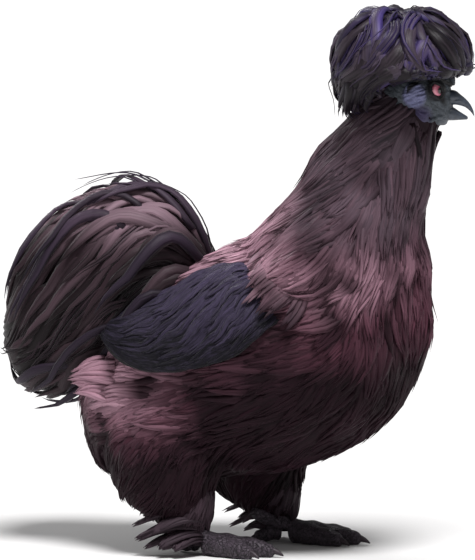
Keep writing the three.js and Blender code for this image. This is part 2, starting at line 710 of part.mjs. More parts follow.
// Neck
const headClear = moved(fuse(headGear), headMatrix);
const crestGrown = moved(crestSolid(GAP), headMatrix);
const torsoCoreSolid = (grow) => torsoCore.solid(20, 12, grow);
const cutFacing = neckCutNormal.clone().negate().toArray();
const belowCut = (solid, lower) => solid.trimByPlane(cutFacing, lower - neckCutOffset);
const neckWhole = (grow) =>
  fuse([neckCore.solid(18, 8, grow), ...hackleLocks.map((spec) => lockOver(neckEnvelope, spec, grow))]);
const neckNode = cutBy(neckWhole(0), headClear, crestGrown, belowCut(torsoCoreSolid(GAP), 0));
group.add(toMesh("neck", neckNode, finish.dusk));

// Torso: it gives way to the neck, but for its own core below the cut
const torsoWhole = (grow) =>
  fuse([torsoCoreSolid(grow), ...torsoLocks.map((spec) => lockOver(torsoEnvelope, spec, grow))]);
const neckGrown = neckWhole(GAP);
const neckTool = neckGrown.subtract(belowCut(torsoCoreSolid(-0.1), GAP));
group.add(toMesh("torso", cutBy(torsoWhole(0), neckTool), finish.mauve));
const torsoGrown = torsoWhole(GAP);

// Tail
const tailWhole = (grow) =>
  fuse([tailCore.solid(12, 8, grow), ...tailVanes.map((spec) => lockOver(tailEnvelope, spec, grow))]);
group.add(toMesh("tail", cutBy(tailWhole(0), torsoGrown), finish.dusk));
const tailGrown = tailWhole(GAP);

// Wings, legs and feet
for (const [name, { side, x, core, envelope }] of Object.entries(legs)) {
  const wingNode = cutBy(wingSolid(side), torsoGrown, tailGrown, neckGrown);
  group.add(toMesh(`wing_${name}`, wingNode, finish.wing));

  const inside = (t, degrees) => side * Math.sin(radians(degrees)) < -0.35;
  const fluff = { thick: 5, sink: 12, lift: 0, aJitter: 3, segments: 3, skip: inside };
  const thighLocks = [
    ...tier({ ...fluff, t: [0.3, 0.62], count: 7, width: 35 }),
    ...tier({ ...fluff, t: [0.48, 0.82], count: 7, width: 33 }),
    ...tier({ ...fluff, t: [0.68, 0.97], count: 7, width: 25, thick: 4, sink: 10, lift: 2 }),
  ];
  const thigh = fuse([core.solid(14, 8), ...thighLocks.map((spec) => lockOver(envelope, spec, 0))]);
  const footGroup = new THREE.Group();
  footGroup.position.set(x, side * STANCE_HALF, 0);
  group.add(footGroup);
  const placed = new THREE.Matrix4().makeTranslation(x, side * STANCE_HALF, 0);
  const footGrown = moved(footSolid(side, GAP), placed);
  const thighNode = cutBy(thigh, torsoGrown, tailGrown, wingSolid(side, GAP), footGrown);
  group.add(toMesh(`thigh_${name}`, thighNode, finish.mauve));
  footGroup.add(toMesh(`foot_${name}`, footSolid(side), finish.shank));
  const footTool = footSolid(side, GAP);
  for (const [toeName, toe] of Object.entries(TOES))
    footGroup.add(toMesh(`claw_${name}_${toeName}`, cutBy(claw(toe, side), footTool), finish.claw));
}

// The origin is on the floor under the middle of the whole bird
group.updateMatrixWorld(true);
const box = new THREE.Box3().setFromObject(group, true);
const centre = box.getCenter(vec(0, 0, 0));
group.position.set(-centre.x, -centre.y, -box.min.z);

export default group;
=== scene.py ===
import math

import bmesh
import bpy
import numpy as np
from mathutils import Matrix, Vector, noise
from mathutils.bvhtree import BVHTree


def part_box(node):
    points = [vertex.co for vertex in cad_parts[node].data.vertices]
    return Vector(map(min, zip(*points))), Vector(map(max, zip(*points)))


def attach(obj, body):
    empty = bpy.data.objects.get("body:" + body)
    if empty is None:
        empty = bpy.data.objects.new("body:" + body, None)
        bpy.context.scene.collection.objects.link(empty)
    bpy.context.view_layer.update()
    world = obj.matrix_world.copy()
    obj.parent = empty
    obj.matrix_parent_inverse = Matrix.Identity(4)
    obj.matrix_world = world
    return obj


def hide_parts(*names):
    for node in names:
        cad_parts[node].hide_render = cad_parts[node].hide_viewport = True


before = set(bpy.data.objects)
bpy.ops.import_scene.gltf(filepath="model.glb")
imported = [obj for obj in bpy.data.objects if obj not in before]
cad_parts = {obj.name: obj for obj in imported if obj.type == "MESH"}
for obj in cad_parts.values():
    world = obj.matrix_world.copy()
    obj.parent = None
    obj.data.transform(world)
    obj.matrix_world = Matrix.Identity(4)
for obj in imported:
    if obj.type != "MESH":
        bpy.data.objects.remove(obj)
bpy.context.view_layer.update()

# Camera
# The bird is seen from its right side and a little from the front, nearly level, through a long lens. It is
# drawn in millimetres: +X to the beak, +Y to its left, +Z up, and the origin on the floor between its feet.
# The place of the right eye's solid says where that drawing lies in the frame.
CAMERA_TURN = math.radians(18)
CAMERA_RISE = math.radians(6)
CAMERA_AWAY = 8000.0
SENSOR = 36.0
FRAME_WIDE, FRAME_HIGH = 475, 560
PIXEL = 0.69
NEAR_SIDE = 20.0  # how much nearer than the origin the plane lies in which a pixel shows 0.69 mm
ORIGIN_RIGHT, ORIGIN_DOWN = 250, 549  # the pixel that the drawing's origin falls on
HEAD_AT = np.array([120.0, 0.0, 318.0])
HEAD_TURN = math.radians(12)
EYE_AT = np.array([13.8, 10.4, 4.6])


def on_head(points):
    """Places measured from the middle of the turned head, as places on the bird."""
    x, y, z = np.moveaxis(np.asarray(points, float), -1, 0)
    c, s = math.cos(HEAD_TURN), math.sin(HEAD_TURN)
    return np.stack([c * x - s * y, s * x + c * y, z], axis=-1) + HEAD_AT


right_eye = np.mean([np.array(corner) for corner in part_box("eye_right")], axis=0) * 1000
drawing_origin = right_eye - on_head(EYE_AT * [1, -1, 1])


def to_metres(points):
    """Places on the bird, in the frame's metres."""
    return (np.asarray(points, float) + drawing_origin) * 0.001


right_way = np.array([math.cos(CAMERA_TURN), math.sin(CAMERA_TURN), 0])
away = np.array([math.sin(CAMERA_TURN) * math.cos(CAMERA_RISE), -math.cos(CAMERA_TURN) * math.cos(CAMERA_RISE),
                 math.sin(CAMERA_RISE)])
up_way = np.cross(away, right_way)
aim = (right_way * (FRAME_WIDE / 2 - ORIGIN_RIGHT) * PIXEL + up_way * (ORIGIN_DOWN - FRAME_HIGH / 2) * PIXEL
       + away * NEAR_SIDE)
camera_data = bpy.data.cameras.new("camera")
camera_data.sensor_fit = "VERTICAL"
camera_data.sensor_height = SENSOR
camera_data.lens = SENSOR * CAMERA_AWAY / (FRAME_HIGH * PIXEL)
camera_data.clip_end = 50
camera = bpy.data.objects.new("camera", camera_data)
camera.matrix_world = Matrix.Translation(to_metres(aim + away * CAMERA_AWAY)) @ Matrix(
    np.stack([right_way, up_way, away], axis=1).tolist()
).to_4x4()
bpy.context.scene.collection.objects.link(camera)
bpy.context.scene.camera = camera

# Floor and studio light
# A matt pale sweep under a broad soft key high above and a little in front of the bird, a weak rim light
# behind it for the edges of the plumes, and a faint even surround.
UP = np.array([0.0, 0, 1])


def linear(hex_colour, alpha=1.0):
    """An sRGB colour, as in a paint chart, in the linear values that Blender takes."""
    parts = [int(hex_colour[i:i + 2], 16) / 255 for i in (1, 3, 5)]
    return [p / 12.92 if p <= 0.04045 else ((p + 0.055) / 1.055) ** 2.4 for p in parts] + [alpha]


def add(tree, kind, links=None, **settings):
    """Adds a node, sets its settings, and fills its sockets with values or with other nodes' outputs.

    A Mix node's sockets are numbered: 0 is its share, 4 and 5 its two vectors, 6 and 7 its two colours.
    """
    node = tree.nodes.new("ShaderNode" + kind)
    for name, value in settings.items():
        setattr(node, name, value)
    for socket, value in (links or {}).items():
        if isinstance(value, bpy.types.NodeSocket):
            tree.links.new(value, node.inputs[socket])
        else:
            node.inputs[socket].default_value = value
    return node


def new_material(name):
    made = bpy.data.materials.new(name)
    made.use_nodes = True
    made.node_tree.nodes.clear()
    return made, made.node_tree


# Painted studio sweep: matt pale paint, so that it takes a soft shadow and no highlight
paint, tree = new_material("matt_pale_studio_paint")
coated = add(tree, "BsdfPrincipled", {"Base Color": linear("#e4e3e3"), "Roughness": 0.9})
add(tree, "OutputMaterial", {"Surface": coated.outputs[0]})

sweep_bm = bmesh.new()
bmesh.ops.create_grid(sweep_bm, x_segments=1, y_segments=1, size=30.0)
sweep_mesh = bpy.data.meshes.new("floor")
sweep_bm.to_mesh(sweep_mesh)
sweep_bm.free()
sweep_mesh.materials.append(paint)
sweep = bpy.data.objects.new("floor", sweep_mesh)
bpy.context.scene.collection.objects.link(sweep)

surround = bpy.data.worlds.new("white_surround")
surround.use_nodes = True
surround.node_tree.nodes["Background"].inputs["Color"].default_value = linear("#ffffff")
surround.node_tree.nodes["Background"].inputs["Strength"].default_value = 0.22
bpy.context.scene.world = surround
bpy.context.scene.view_settings.view_transform = "Standard"

for name, towards, power, softness in [
    ("key", away * 0.55 + right_way * 0.15 + UP * 1.2, 3.7, 22),
    ("rim", -away * 0.8 - right_way * 0.5 + UP * 0.75, 1.0, 20),
]:
    lamp_data = bpy.data.lights.new(name, "SUN")
    lamp_data.energy = power
    lamp_data.angle = math.radians(softness)
    lamp = bpy.data.objects.new(name, lamp_data)
    lamp.rotation_euler = Vector(-towards).to_track_quat("-Z", "Y").to_euler()
    bpy.context.scene.collection.objects.link(lamp)

# Skin
# Bare dark skin over the bird's own flesh: breast, back and rump, neck, thighs, head and feet, in one piece.
# The coat hides it but on the face and the toes, where folds, lobes and scutes are raised on it.
TORSO = [(-116, 0, 92, 40, 42), (-92, 0, 100, 58, 64), (-60, 0, 112, 73, 78), (-25, 0, 127, 84, 84),
         (10, 0, 135, 88, 85), (45, 0, 141, 87, 82), (78, 0, 148, 77, 74), (104, 0, 156, 64, 60),
         (126, 0, 164, 47, 45)]
NECK = [(60, 0, 186, 66, 72), (62, 0, 206, 64, 68), (68, 0, 226, 58, 59), (77, 0, 243, 52.5, 51),
        (83.5, 0, 257, 48.5, 46), (90, 0, 271, 46.5, 42), (98, 0, 286, 42, 38), (105, 0, 300, 38.5, 33),
        (110, 0, 316, 32, 27)]
HEAD = [(-24, 0, 0, 14, 12), (-12, 0, -1, 18, 15.5), (0, 0, -1.5, 19.5, 17), (10, 0, -2.5, 19, 15.8),
        (18, 0, -3.5, 17, 12.6), (25, 0, -5, 13, 9.4)]
LEGS = {"right": (-1, -22.0), "left": (1, 14.0)}  # the side of each leg, and how far ahead it stands
STANCE = 42.0


def thigh_table(side, x):
    """The spine of a thigh and its radii, from the hip down to the hock."""
    return [(x - 8, side * 36, 124, 40, 32), (x - 16, side * 41, 100, 50, 40), (x - 24, side * 43, 72, 50, 41),
            (x - 26, side * 43, 48, 41, 35), (x - 18, side * 42, 31, 30, 26), (x - 8, side * 42, 18, 21, 19)]


BACK, LEFT = np.array([-1.0, 0, 0]), np.array([0.0, 1, 0])


def along(table, t):
    """A smooth curve through the rows of a table, t from 0 at the first row to 1 at the last."""
    rows = np.asarray(table, float)
    rows = np.concatenate([[2 * rows[0] - rows[1]], rows, [2 * rows[-1] - rows[-2]]])
    spans = len(rows) - 3
    x = np.clip(np.asarray(t, float), 0, 1) * spans
    i = np.minimum(x.astype(int), spans - 1)
    f = (x - i)[..., None]
    p0, p1, p2, p3 = (rows[i + k] for k in range(4))
    v0, v1 = (p2 - p0) / 2, (p3 - p1) / 2
    return (2 * p1 - 2 * p2 + v0 + v1) * f**3 + (3 * p2 - 3 * p1 - 2 * v0 - v1) * f**2 + v0 * f + p1


def round_body(table, t, a, dorsal=UP, lateral=LEFT, caps=(0.14, 0.16), inset=0.0):
    """The surface round a spine: rows are x, y, z and the radii up and sideways; a counts from the top.

    The caps are the shares of its length in which it closes at either end.
    """
    row = along(table, t)
    to_end = np.minimum(np.minimum(np.asarray(t) / caps[0], (1 - np.asarray(t)) / caps[1]), 1)
    full = np.sqrt(np.maximum(0, 1 - (1 - to_end) ** 2))
    across = (row[..., 3] - inset) * full * np.cos(a)
    sideways = (row[..., 4] - inset) * full * np.sin(a)
    return row[..., :3] + across[..., None] * dorsal + sideways[..., None] * lateral


def shaped_ball(place, around=48, lengthwise=36):
    """A mesh ball whose points go where place(t, a) says."""
    bm = bmesh.new()
    bmesh.ops.create_uvsphere(bm, u_segments=around, v_segments=lengthwise, radius=1)
    unit = np.array([v.co for v in bm.verts])
    t = np.clip((1 + unit[:, 2]) / 2, 0, 1)
    points = place(t, np.arctan2(unit[:, 1], unit[:, 0]))
    for v, p in zip(bm.verts, points):
        v.co = p
    bmesh.ops.recalc_face_normals(bm, faces=bm.faces[:])
    return bm


def joined(parts):
    """Several bmeshes as one. They are freed."""
    whole = bmesh.new()
    for part in parts:
        mesh = bpy.data.meshes.new("part")
        part.to_mesh(mesh)
        part.free()
        whole.from_mesh(mesh)
        bpy.data.meshes.remove(mesh)
    return whole


def melted(bm, cell, rounds=2):
    """Melts overlapping closed forms into one closed skin of even cells, and smooths it."""
    mesh = bpy.data.meshes.new("melting")
    bm.to_mesh(mesh)
    bm.free()
    holder = bpy.data.objects.new("melting", mesh)
    bpy.context.scene.collection.objects.link(holder)
    remesh = holder.modifiers.new("cells", "REMESH")
    remesh.mode = "VOXEL"
    remesh.voxel_size = cell
    remesh.use_smooth_shade = True
    smooth = holder.modifiers.new("smooth", "SMOOTH")
    smooth.factor = 0.5
    smooth.iterations = rounds
    result = bmesh.new()
    result.from_object(holder, bpy.context.evaluated_depsgraph_get())
    bpy.data.objects.remove(holder)
    bpy.data.meshes.remove(mesh)
    return result


flesh = [
    shaped_ball(lambda t, a: round_body(TORSO, t, a, inset=11)),
    shaped_ball(lambda t, a: round_body(NECK, t, a, dorsal=BACK, caps=(0.05, 0.1), inset=8)),
    shaped_ball(lambda t, a: on_head(round_body(HEAD, t, a, caps=(0.3, 0.16), inset=1.5))),
]
for side, x in LEGS.values():
    table = thigh_table(side, x)
    flesh.append(shaped_ball(lambda t, a: round_body(table, t, a, dorsal=BACK, caps=(0.2, 0.14), inset=10)))
flesh_bm = melted(joined(flesh), 3.0, rounds=4)
flesh_tree = BVHTree.FromBMesh(flesh_bm)


# The face: brow, lids, cheek, lobes, wattles and comb melt into the head.
LOBE_AT, LOBE_RADII = np.array([0, 16.2, 1.2]), (8.2, 3.9, 8.8)
WATTLE_AT = np.array([4, 14.0, -12.5])


def ball_at(centre, radii, around=24, lengthwise=18):
    """A ball of three radii on the head."""
    def place(t, a):
        ring = np.sqrt(np.maximum(0, 1 - (2 * t - 1) ** 2))
        unit = np.stack([ring * np.cos(a), ring * np.sin(a), 2 * t - 1], axis=-1)
        return on_head(unit * np.array(radii) + np.array(centre))
    return shaped_ball(place, around, lengthwise)


def tube_through(points, radius, ends=0.35):
    """A round fold of skin through points on the head."""
    table = [(*p, radius, radius) for p in points]

    def place(t, a):
        centre = along(table, t)[..., :3]
        step = along(table, np.clip(t + 0.02, 0, 1))[..., :3] - along(table, np.clip(t - 0.02, 0, 1))[..., :3]
        step /= np.linalg.norm(step, axis=-1)[..., None]
        side = np.cross(step, UP)
        side /= np.linalg.norm(side, axis=-1)[..., None] + 1e-9
        top = np.cross(side, step)
        full = np.sqrt(np.maximum(0, 1 - (1 - np.minimum(np.minimum(t, 1 - t) / ends, 1)) ** 2)) * radius
        return on_head(centre + (np.cos(a) * full)[..., None] * top + (np.sin(a) * full)[..., None] * side)
    return shaped_ball(place, 14, 24)


face = [shaped_ball(lambda t, a: on_head(round_body(HEAD, t, a, caps=(0.3, 0.16))), 64, 48)]
for side in (1, -1):
    face.append(tube_through([(-3, side * 14.5, 9.5), (6, side * 13.8, 13.4), (14, side * 11.8, 14),
                              (21, side * 8.2, 10.4), (24, side * 5, 5.5)], 2.6))
    face.append(ball_at(EYE_AT * [1, side, 1] + np.array([0, side * 0.6, 0]), (7.4, 5.2, 7.8)))
    face.append(tube_through([(8, side * 15, -3), (13, side * 13.8, -5), (19, side * 10.6, -3.6)], 1.1))
    face.append(tube_through([(22, side * 7.5, -8.5), (14, side * 12.2, -10.5), (6, side * 15, -8.5),
                              (1, side * 15.5, -10)], 1.7))
    face.append(tube_through([(21, side * 8, -12.5), (14, side * 11.4, -15), (6, side * 12.6, -19)], 1.5))
    face.append(ball_at(LOBE_AT * [1, side, 1], LOBE_RADII))
    face.append(ball_at(WATTLE_AT * [1, side, 1], (6.2, 3.2, 6.4)))
for x, y, z, r in [(19.5, 0, 14, 5.2), (15, 3.6, 16, 4.6), (15, -3.6, 16, 4.6), (23.4, 2.4, 10, 3.6),
                   (23.4, -2.4, 10, 3.6)]:
    face.append(ball_at((x, y, z), (r, r, r)))
face_bm = melted(joined(face), 0.5)

# The lids: an almond opening in front of each eyeball, slanting down to the front, with a raised dark rim.
# The distances are from the middle of the eyeball.
INSIDE_EYE, OVER_EYE, LID_RIM = 4.2, 5.9, 6.5


def in_head(points):
    """Places on the bird, measured from the middle of its turned head."""
    x, y, z = np.moveaxis(np.asarray(points, float) - HEAD_AT, -1, 0)
    c, s = math.cos(HEAD_TURN), math.sin(HEAD_TURN)
    return np.stack([c * x + s * y, c * y - s * x, z], axis=-1)


def lid_place(points, side):
    """Where points lie about an eye: how far along the opening's gaze, and how far out, with 1 its edge."""
    d = points - EYE_AT * [1, side, 1]
    gaze = np.array([0.45, side * 0.89, 0.02])
    ahead = np.array([0.89, side * -0.45, 0.0])
    p, q = d @ ahead, d[:, 2]
    long, short = 0.5 * p - 0.87 * q, 0.87 * p + 0.5 * q
    pinch = np.sqrt(np.clip(1 - (long / 6.9) ** 2, 0.02, 1))
    return d @ gaze / np.linalg.norm(gaze), np.sqrt((short / (3.9 * pinch ** 0.5)) ** 2 + (long / 6.1) ** 2)


face_points = in_head([v.co[:] for v in face_bm.verts])
for side in (1, -1):
    centre = EYE_AT * [1, side, 1]
    front, out = lid_place(face_points, side)
    d = face_points - centre
    r = np.linalg.norm(d, axis=1)
    open_part = 1 / (1 + np.exp((out - 1) * 16))
    rim_part = np.exp(-((out - 1.3) / 0.28) ** 2)
    wanted = np.where(out < 1, INSIDE_EYE, np.maximum(r, OVER_EYE))
    target = wanted * (1 - rim_part) + np.maximum(wanted, LID_RIM) * rim_part
    target = np.where(out < 1, INSIDE_EYE * open_part + OVER_EYE * (1 - open_part), target)
    moved = (front > 0) & (out < 2.2) & (r < 11)
    face_points[moved] = (centre + d * (target / r)[:, None])[moved]
for v, p in zip(face_bm.verts, on_head(face_points)):
    v.co = p

# How much each place of the face is lobe, wattle, dark rim of the lids or brow, and its fine wrinkles
sided = face_points * [1, 0, 1] + np.abs(face_points) * [0, 1, 0]
from_lobe = (sided - LOBE_AT) / LOBE_RADII
lobe_out = np.hypot(from_lobe[:, 0], from_lobe[:, 2])
lobe_share = np.clip(3.4 - 3 * lobe_out, 0, 1) * (sided[:, 1] > 13)
wattle_out = np.linalg.norm((sided - WATTLE_AT) / [7.4, 6, 7.4], axis=1)
wattle_share = np.clip(1.9 - 1.5 * wattle_out, 0, 1)
front, lid_out = lid_place(sided, 1)
lid_share = np.clip(2.6 - 1.1 * lid_out, 0, 1) * (front > -2)
brow_out = np.abs(sided[:, 2] - 13.6 + 0.035 * (sided[:, 0] - 11) ** 2) / 2.2
brow_share = np.clip(1.6 - brow_out, 0, 1) * (sided[:, 0] > -5) * (sided[:, 0] < 26)
wrinkle = np.array([noise.noise(Vector((x * 0.14, 0, z * 0.62 - 0.18 * x))) for x, _, z in face_points])
wrinkle *= lobe_share * 1.3
cheek = np.array([noise.noise(Vector((x * 0.16, y * 0.16, z * 0.42 + 0.2 * x))) for x, y, z in face_points])
cheek_share = (1 - lobe_share) * np.clip((lid_out - 1.5) * 2, 0, 1)
for v, w in zip(face_bm.verts, wrinkle + cheek * cheek_share * 0.8):
    v.co += v.normal * float(w)

# The feet: a shank, five toes with rings of scutes, and their pads, flat where they stand. A toe has its turn
# to the outside in degrees, its share of TOE_LENGTH, how high it is held, and where it leaves the shank.
TOES = {"inner": (19, 0.9, 0, (3, 1)), "middle": (0, 1.02, 0, (4, 0)), "outer": (-22, 0.88, 0, (3, -1)),
        "hind": (146, 0.4, 0, (-4, 3)), "fifth": (128, 0.46, 9, (-5, 4))}
TOE_LENGTH = 49.0
SHANK = [(-17, 0, 36, 9, 8.4), (-9, 0, 23, 9, 8.4), (-1, 0, 13, 10.4, 9.6), (6, 0, 8, 10.6, 10.4)]


def toe_table(toe, side):
    """A toe's spine and radii from the shank to its tip, and the way across it."""
    turn, length, rise, base = toe
    heading = math.radians(turn * -side)
    reach = TOE_LENGTH * length
    heights = [8 + rise * 0.5, 8 + rise, 8 + rise * 1.3, 9 + rise * 1.5] if rise else [8, 6.6, 5.4, 4.2]
    radii = [6.4, 5.2, 4.8, 4] if length < 0.5 else [8.8, 7.8, 6.6, 5]
    rows = [(base[0] + math.cos(heading) * reach * share,
             -side * base[1] + math.sin(heading) * reach * share, z, r, r * 0.94)
            for share, z, r in zip([0, 0.36, 0.7, 1], heights, radii)]
    return rows, np.array([-math.sin(heading), math.cos(heading), 0])


feet_parts = []
for side, x in LEGS.values():
    offset = np.array([x, side * STANCE, 0])
    feet_parts.append(shaped_ball(
        lambda t, a: round_body(SHANK, t, a, dorsal=BACK, caps=(0.12, 0.3)) + offset, 28, 24))
    for toe in TOES.values():
        rows, sideways = toe_table(toe, side)

        def toe_place(t, a, rows=rows, sideways=sideways, knuckles=3 if toe[1] > 0.5 else 2):
            swell = 1 + 0.07 * np.cos(t * knuckles * 2 * np.pi)
            p = round_body(rows, t, a, lateral=sideways, caps=(0.1, 0.16))
            middle = along(rows, t)[..., :3]
            return middle + (p - middle) * swell[..., None] + offset
        feet_parts.append(shaped_ball(toe_place, 28, 40))
feet_bm = melted(joined(feet_parts), 0.8)
for v in feet_bm.verts:
    v.co.z = max(v.co.z, 0.02)

for number, part in enumerate((flesh_bm, face_bm, feet_bm)):
    for f in part.faces:
        f.material_index = number
        f.smooth = True
first_face, last_face = len(flesh_bm.verts), len(flesh_bm.verts) + len(face_bm.verts)
skin_bm = joined([flesh_bm.copy(), face_bm, feet_bm])  # the coat is rooted in flesh_bm later
skin_mesh = bpy.data.meshes.new("skin")
for v, p in zip(skin_bm.verts, to_metres([v.co[:] for v in skin_bm.verts])):
    v.co = p
skin_bm.to_mesh(skin_mesh)
skin_bm.free()
for name, share in (("lobe", lobe_share), ("wattle", wattle_share),
                    ("dark", np.maximum(lid_share, brow_share))):
    values = np.zeros(len(skin_mesh.vertices))
    values[first_face:last_face] = share
    skin_mesh.attributes.new(name, "FLOAT", "POINT").data.foreach_set("value", values)


def toned(tree, level, tones):
    """Tones that run from dark to light with the level, each laid over those before it by its amount.

    An amount is an attribute's name or another node's output.
    """
    colour = None
    for low, high, amount in tones:
        tone = add(tree, "Mix", {0: level, 6: linear(low), 7: linear(high)}, data_type="RGBA").outputs[2]
        if isinstance(amount, str):
            amount = add(tree, "Attribute", attribute_name=amount).outputs["Fac"]
        if amount is not None:
            tone = add(tree, "Mix", {0: amount, 6: colour, 7: tone}, data_type="RGBA").outputs[2]
        colour = tone
    return colour


# Skin under the feathers: thin, dark and dry, so it is matt, mottled in spots of 7 mm, and hardly seen
body_skin, tree = new_material("dark_skin_under_feathers")
place = add(tree, "TexCoord").outputs["Object"]
mottle = add(tree, "TexNoise", {"Vector": place, "Scale": 140.0, "Detail": 3.0})
tone = toned(tree, mottle.outputs[0], [("#1b1418", "#33272c", None)])
surface = add(tree, "BsdfPrincipled", {"Base Color": tone, "Roughness": 0.85, "Specular IOR Level": 0.1})
add(tree, "OutputMaterial", {"Surface": surface.outputs[0]})

# Bare face skin: soft and leathery, slate with a greenish cast and blue-lavender lobes, with wrinkles 2.4 mm
# apart and pebbles of 1.1 mm, so that it has a dull, broken gloss
face_skin, tree = new_material("bare_wrinkled_face_skin")
place = add(tree, "TexCoord").outputs["Object"]
warp = add(tree, "TexNoise", {"Vector": place, "Scale": 160.0, "Detail": 2.0})
warped = add(tree, "Mix", {0: 0.012, 4: place, 5: warp.outputs["Color"]}, data_type="VECTOR")
pebble = add(tree, "TexVoronoi", {"Vector": warped.outputs[1], "Scale": 900.0}, feature="F1")
crease = add(tree, "TexNoise", {"Vector": warped.outputs[1], "Scale": 420.0, "Detail": 4.0, "Roughness": 0.6})
tone = toned(tree, crease.outputs[0], [("#14171b", "#626972", None), ("#3d3f60", "#8d8fb4", "lobe"),
                                       ("#231d33", "#544b72", "wattle"), ("#141317", "#141317", "dark")])
relief = add(tree, "Math", {0: pebble.outputs["Distance"], 1: crease.outputs[0]}, operation="ADD")
bump = add(tree, "Bump", {"Height": relief.outputs[0], "Strength": 0.7, "Distance": 0.0006})
surface = add(tree, "BsdfPrincipled", {"Base Color": tone, "Roughness": 0.5, "Specular IOR Level": 0.3,
                                       "Normal": bump.outputs[0]})
add(tree, "OutputMaterial", {"Surface": surface.outputs[0]})

# Scaled skin of the foot: horny scutes 2.4 mm across in dark grey-purple, dull, darker in their seams
foot_skin, tree = new_material("horny_scutes_of_the_foot")
place = add(tree, "TexCoord").outputs["Object"]
warp = add(tree, "TexNoise", {"Vector": place, "Scale": 220.0, "Detail": 2.0})
warped = add(tree, "Mix", {0: 0.006, 4: place, 5: warp.outputs["Color"]}, data_type="VECTOR")
scutes = add(tree, "TexVoronoi", {"Vector": warped.outputs[1], "Scale": 420.0}, feature="DISTANCE_TO_EDGE")
edge = add(tree, "MapRange", {"Value": scutes.outputs["Distance"], "From Min": 0.0, "From Max": 0.12})
grime = add(tree, "TexNoise", {"Vector": place, "Scale": 500.0, "Detail": 4.0})
tone = toned(tree, grime.outputs[0], [("#151216", "#151216", None), ("#251f25", "#5d525d", edge.outputs[0])])
height = add(tree, "Math", {0: edge.outputs[0], 1: grime.outputs[0]}, operation="ADD")
bump = add(tree, "Bump", {"Height": height.outputs[0], "Strength": 0.8, "Distance": 0.0008})
surface = add(tree, "BsdfPrincipled", {"Base Color": tone, "Roughness": 0.55, "Specular IOR Level": 0.3,
                                       "Normal": bump.outputs[0]})
add(tree, "OutputMaterial", {"Surface": surface.outputs[0]})


def set_on_bird(name, mesh, finishes, slot_name, *nodes):
    """A finished mesh as a piece that rides on the bird, and stands for the nodes that are named."""
    for made in finishes:
        mesh.materials.append(made)
    piece = bpy.data.objects.new(name, mesh)
    bpy.context.scene.collection.objects.link(piece)
    if nodes:
        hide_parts(*nodes)
    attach(piece, "root")


set_on_bird("skin", skin_mesh, (body_skin, face_skin, foot_skin), "face_skin",
            "head", "comb", "earlobe_left", "earlobe_right", "wattle_left", "wattle_right", "neck",
            "torso", "thigh_left", "thigh_right", "foot_left", "foot_right")

# Eyes
# Round eyeballs behind almond lids, each with a rose iris in a dark rim and a dark pupil, under a clear wet
# cornea. Each looks outwards and a little ahead.
EYE_RADIUS = 5.2


def new_mesh(name, bm):
    """A smooth mesh in metres from a bmesh in the drawing's millimetres."""
    for v, p in zip(bm.verts, to_metres([v.co[:] for v in bm.verts])):
        v.co = p
    for f in bm.faces:
        f.smooth = True
    mesh = bpy.data.meshes.new(name)
    bm.to_mesh(mesh)
    bm.free()
    return mesh


# Wet eye: a clear cornea over the iris, so that it throws small sharp highlights; the iris's fibres are 0.7 mm
eye_surface, tree = new_material("wet_eye_with_rose_iris")
gaze = add(tree, "Attribute", attribute_name="gaze").outputs["Fac"]
place = add(tree, "TexCoord").outputs["Object"]
fibres = add(tree, "TexNoise", {"Vector": place, "Scale": 1500.0, "Detail": 3.0})
ring = add(tree, "Math", {0: fibres.outputs[0], 1: 0.1, 2: gaze}, operation="MULTIPLY_ADD")
bands = add(tree, "ValToRGB", {"Fac": ring.outputs[0]})
ramp = bands.color_ramp
ramp.elements[0].position, ramp.elements[0].color = 0.30, linear("#050406")
ramp.elements[1].position, ramp.elements[1].color = 0.90, linear("#1a1014")
for position, colour in [(0.33, "#6e2a3c"), (0.42, "#c0607a"), (0.62, "#dd8fa0"), (0.82, "#8c4256")]:
    ramp.elements.new(position).color = linear(colour)
surface = add(tree, "BsdfPrincipled", {"Base Color": bands.outputs[0], "Roughness": 0.06, "Coat Weight": 1.0,
                                       "Coat Roughness": 0.02, "IOR": 1.38})
add(tree, "OutputMaterial", {"Surface": surface.outputs[0]})

for name, side in (("left", 1), ("right", -1)):
    centre = EYE_AT * [1, side, 1]
    eye_bm = ball_at(centre, (EYE_RADIUS,) * 3, 64, 48)
    look = on_head(np.array([0.78, side * 0.62, -0.02])) - HEAD_AT
    look /= np.linalg.norm(look)
    spots = np.array([v.co for v in eye_bm.verts]) - on_head(centre)
    angles = np.arccos(np.clip(spots @ look / EYE_RADIUS, -1, 1)) / 1.6
    eye_mesh = new_mesh(f"eyeball_{name}", eye_bm)
    eye_mesh.attributes.new("gaze", "FLOAT", "POINT").data.foreach_set("value", angles)
    set_on_bird(f"eyeball_{name}", eye_mesh, (eye_surface,), "eye", f"eye_{name}")

# Beak
# Dark slate horn, worn and a little scratched: a short arched upper half with its nostril, hooked over a
# smaller lower half, with the mouth just open.
BEAK_UPPER = [(17, 0, -1.6, 5.6, 6.8), (26, 0, -1.4, 5, 5.6), (30.4, 0, -3.2, 3.8, 4.4),
              (33.8, 0, -5.2, 3.0, 3.3), (36.8, 0, -8.1, 2.5, 2.4), (39, 0, -11.6, 1.7, 1.6),
              (39.8, 0, -14.2, 0.9, 0.8)]
BEAK_LOWER = [(16, 0, -12, 5, 5.8), (24, 0, -12.4, 4.8, 4.9), (29, 0, -13.7, 3.2, 3.5),
              (33, 0, -14.8, 1.8, 2.1), (35.4, 0, -15.4, 1, 1.1)]
NOSTRIL_AT, NOSTRIL_SIZE, NOSTRIL_DEEP = (27.5, -2.4), (2.2, 0.75), 1.3

